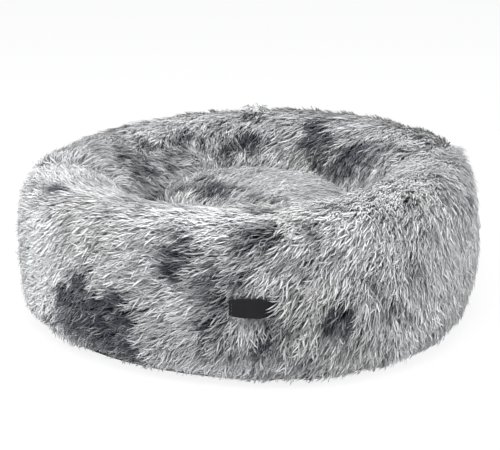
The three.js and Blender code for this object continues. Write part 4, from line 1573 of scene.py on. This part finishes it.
def base_sheet_shape():
    radii = [i * RAISED_RADIUS / 12 for i in range(12)]
    radii += [RAISED_RADIUS + i * (RAISED_FOOT - RAISED_RADIUS) / 6 for i in range(7)]
    radii += [RAISED_FOOT + i * (BASE_SEAM_RADIUS - RAISED_FOOT) / 10 for i in range(1, 11)]
    shape = spun([(radius, softened_step(radius)) for radius in radii], BASE_COLUMNS)
    for vertex in shape.verts:
        outwards, _ = swell_at(math.atan2(vertex.co.y, vertex.co.x))
        share = eased(vertex.co.xy.length, NEST_RADIUS, BASE_SEAM_RADIUS)
        vertex.co.xy *= 1 + outwards * share * FOOT_SWELL / max(vertex.co.xy.length, MM)
    return shape


def slot_cutter():
    """A block with round ends, as long and wide as the opening that the zip closes."""
    shape = bmesh.new()
    for side in (-1, 1):
        middle = side * (SLOT_HALF_LENGTH - SLOT_HALF_WIDTH)
        bmesh.ops.create_circle(shape, segments=24, radius=SLOT_HALF_WIDTH,
                                matrix=Matrix.Translation((middle, 0, 0)))
    outline = bmesh.ops.convex_hull(shape, input=shape.verts)
    bmesh.ops.delete(shape, geom=outline["geom_interior"], context="VERTS")
    bmesh.ops.dissolve_limit(shape, angle_limit=0.01, verts=shape.verts, edges=shape.edges)
    lifted = bmesh.ops.extrude_face_region(shape, geom=shape.faces[:])["geom"]
    bmesh.ops.translate(shape, vec=(0, 0, SLOT_CUT_HEIGHT),
                        verts=[g for g in lifted if isinstance(g, bmesh.types.BMVert)])
    bmesh.ops.recalc_face_normals(shape, faces=shape.faces)
    return loose_object("slot cutter", shape)


def cut_slot(piece):
    cutter = slot_cutter()
    slot = piece.modifiers.new("slot", "BOOLEAN")
    slot.object = cutter
    slot.solver = "MANIFOLD"
    settle(piece)
    bpy.data.objects.remove(cutter)


base_sheet = piece_from("base_sheet", base_sheet_shape(), "bed")
thicken(base_sheet, CLOTH_THICKNESS)
settle(base_sheet)
lowest = min(v.co.z for v in base_sheet.data.vertices)
base_sheet.data.transform(Matrix.Translation((0, 0, -lowest)))
cut_slot(base_sheet)
wear(base_sheet, base_weave)
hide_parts("base_cloth")

# %% [markdown]
# The tape is a narrow strip with soft edges, spun round and swollen with the ring.

# %% Bind the base seam
TAPE_EDGE = 0.5 * MM
BASE_STITCH_RADII, BASE_STITCH_HEIGHT = (253 * MM, 250 * MM), 0.5 * MM
CIRCLE_STEPS = 180


def tape_shape():
    low, high = BASE_SEAM_HEIGHT, BASE_SEAM_HEIGHT + BINDING_THICKNESS
    lower = [(BINDING_INSIDE, low + TAPE_EDGE), (BINDING_INSIDE + TAPE_EDGE, low),
             (BINDING_OUTSIDE - TAPE_EDGE, low), (BINDING_OUTSIDE, low + TAPE_EDGE)]
    upper = [(BINDING_OUTSIDE, high - TAPE_EDGE), (BINDING_OUTSIDE - TAPE_EDGE, high),
             (BINDING_INSIDE + TAPE_EDGE, high), (BINDING_INSIDE, high - TAPE_EDGE)]
    shape = spun(lower + upper + lower[:1], BASE_COLUMNS)
    for vertex in shape.verts:
        vertex.co = swollen(vertex.co)
    return shape


def swollen_circle(radius, height):
    turns = [2 * math.pi * i / CIRCLE_STEPS for i in range(CIRCLE_STEPS + 1)]
    return [swollen(Vector((radius * math.cos(t), radius * math.sin(t), height))) for t in turns]


binding = piece_from("base_binding_tape", tape_shape(), "bed")
wear(binding, tape_weave)
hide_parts("base_binding")
base_seams = [swollen_circle(radius, BASE_STITCH_HEIGHT) for radius in BASE_STITCH_RADII]
sew("base_stitches", base_seams, "bed")

# %% [markdown]
# The floor of the nest is a round lining over a thin sheet of wadding.

# %% Lay the nest's floor
NEST_LINING_RADIUS, WADDING_RADIUS = 148.7 * MM, 137 * MM
LINING_RIPPLE, RIPPLE_SIZE = 0.25 * MM, 18 * MM
LINING_THICKNESS, WADDING_THICKNESS = 0.5 * MM, 1.5 * MM
DISC_RINGS, DISC_COLUMNS = 14, 96


def soft_disc(radius, height):
    """A disc of cloth at a height, with faint ripples."""
    shape = spun([(radius * i / DISC_RINGS, height) for i in range(DISC_RINGS + 1)], DISC_COLUMNS)
    for vertex in shape.verts:
        vertex.co.z += LINING_RIPPLE * noise.noise(vertex.co / RIPPLE_SIZE)
    return shape


def flat_sheet(name, node, radius, thickness, material):
    low, high = box_of(node)
    piece = piece_from(name, soft_disc(radius, (low.z + high.z) / 2), "bed")
    thicken(piece, thickness, 0)
    settle(piece)
    wear(piece, material)
    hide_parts(node)
    return piece


nest_lining = flat_sheet("nest_lining", "floor_lining", NEST_LINING_RADIUS,
                         LINING_THICKNESS, lining_weave)
wadding = flat_sheet("wadding_layer", "base_wadding", WADDING_RADIUS, WADDING_THICKNESS,
                     white_fibre)
print("lining and wadding are laid")

# %% [markdown]
# The label is a small woven patch, sewn down at both ends, so that its long edges bow up a little
# between them. It is bare.

# %% Sew on the label
LABEL_WIDTH, LABEL_HEIGHT, LABEL_THICKNESS = 50 * MM, 21 * MM, 0.9 * MM
LABEL_SWELL, LABEL_PINCH = 0.08, 0.16  # how much taller in the middle, and lower at the ends
LABEL_PUCKER, LABEL_PUCKER_SIZE = 0.35 * MM, 7 * MM
LABEL_MIDDLE, LABEL_STAND_OFF = 101 * MM, 0.4 * MM
LABEL_END_STITCH = 3 * MM
TO_THE_FRONT = (0, -1, 0)


def on_label(x, z, lift=0.0):
    """The place on the front wall of a point of the flat label, and how far it stands off."""
    turn = x / BED_RADIUS - math.pi / 2
    radius = BED_RADIUS + swell_at(turn)[0] + LABEL_STAND_OFF + lift
    to_end = abs(2 * x / LABEL_WIDTH)
    spread = 1 + LABEL_SWELL * (1 - to_end ** 2) - LABEL_PINCH * to_end ** 4
    return Vector((radius * math.cos(turn), radius * math.sin(turn), LABEL_MIDDLE + z * spread))


def label_shape():
    shape = bmesh.new()
    size = Matrix.Diagonal((LABEL_WIDTH / 2, LABEL_HEIGHT / 2, 1, 1))
    bmesh.ops.create_grid(shape, x_segments=24, y_segments=10, size=1, matrix=size)
    for vertex in shape.verts:
        pucker = LABEL_PUCKER * noise.noise(vertex.co / LABEL_PUCKER_SIZE)
        vertex.co = on_label(vertex.co.x, vertex.co.y, pucker)
    return shape


label = piece_from("label_patch", finer(label_shape()), "bed")
thicken(label, LABEL_THICKNESS, 0)
soft_edge = label.modifiers.new("soft edge", "BEVEL")
soft_edge.width = 0.25 * MM
soft_edge.segments = 2
settle(label)
wear(label, label_weave)
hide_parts("label")
ends = [side * (LABEL_WIDTH / 2 - LABEL_END_STITCH) for side in (-1, 1)]
end_lines = [[on_label(x, z * MM, 0.5 * MM) for z in range(-8, 9, 2)] for x in ends]
sew("label_stitches", end_lines, "bed", up=TO_THE_FRONT)

# %% [markdown]
# The zip keeps its solid shapes. Its tapes are woven like the binding and its teeth are satin
# plastic, so one material tells them apart by how far they are from the zip's middle line. The
# slider, the stops and the puller are painted metal, rubbed bare along their edges.

# %% Finish the zip
TEETH_REACH = 3.1 * MM
PAINT_WEAR_RADIUS = 0.5 * MM
PLASTIC_DARK, PLASTIC_LIGHT = (0.014, 0.014, 0.016, 1), (0.03, 0.03, 0.033, 1)
ZIP_PAINT, BARE_METAL = (0.03, 0.03, 0.033, 1), (0.55, 0.54, 0.52, 1)
ZIP_SEAM_ASIDE, ZIP_SEAM_HALF_LENGTH, ZIP_SEAM_HEIGHT = 9.5 * MM, 122 * MM, 7.9 * MM


def zip_tape_material():
    material, tree, shader = new_material("zip tape and teeth", 0.6, 0.4)
    place = object_place(tree)
    cloth = woven(tree, place, "zip tape", 0.04)
    aside = add_math(tree, "ABSOLUTE", add_node(tree, "ShaderNodeSeparateXYZ", Vector=place).outputs[1])
    is_tape = add_math(tree, "GREATER_THAN", aside, TEETH_REACH)
    grain = add_noise(tree, place, Scale=900.0, Detail=3.0)
    plastic = add_mix(tree, grain, PLASTIC_DARK, PLASTIC_LIGHT)
    tree.links.new(add_mix(tree, is_tape, plastic, cloth["Color"]), shader["Base Color"])
    tree.links.new(add_range(tree, is_tape, To_Min=0.35, To_Max=0.85), shader["Roughness"])
    raise_bump(tree, shader, add_math(tree, "MULTIPLY", cloth["Height"], is_tape), 0.5, 0.15 * MM)
    return material


def painted_metal():
    """Paint that is rubbed off where a rounded edge would catch on things."""
    material, tree, shader = new_material("black painted zip metal", 0.4)
    rounded = add_node(tree, "ShaderNodeBevel", {"samples": 4}, Radius=PAINT_WEAR_RADIUS).outputs[0]
    straight = tree.nodes.new("ShaderNodeNewGeometry").outputs["Normal"]
    along = add_node(tree, "ShaderNodeVectorMath", {"operation": "DOT_PRODUCT"}, _0=rounded, _1=straight)
    edge = add_math(tree, "SUBTRACT", 1.0, along.outputs["Value"])
    scratch = add_noise(tree, object_place(tree), Scale=650.0, Detail=5.0)
    worn = add_math(tree, "MULTIPLY", edge, add_math(tree, "MULTIPLY", scratch, 9.0))
    bare = add_range(tree, worn, From_Min=0.25, From_Max=0.7)
    tree.links.new(add_mix(tree, bare, ZIP_PAINT, BARE_METAL), shader["Base Color"])
    tree.links.new(bare, shader["Metallic"])
    tree.links.new(add_range(tree, scratch, To_Min=0.3, To_Max=0.5), shader["Roughness"])
    return material


zip_cloth, zip_paint = zip_tape_material(), painted_metal()
for node in ("zip_tape_front", "zip_tape_back"):
    wear(bpy.data.objects[node], zip_cloth)
for node in ("zip_top_stop_front", "zip_top_stop_back", "zip_bottom_stop", "zip_slider", "zip_puller"):
    wear(bpy.data.objects[node], zip_paint)
zip_seams = [[Vector((side * ZIP_SEAM_HALF_LENGTH, y, ZIP_SEAM_HEIGHT)) for side in (-1, 1)]
             for y in (-ZIP_SEAM_ASIDE, ZIP_SEAM_ASIDE)]
sew("zip_stitches", zip_seams, "bed")

# %% [markdown]
# Last, the templates go.

# %% Finish
for blade in [b for group in templates.children for b in group.objects]:
    bpy.data.objects.remove(blade)
for group in list(templates.children):
    bpy.data.collections.remove(group)
bpy.data.collections.remove(templates)
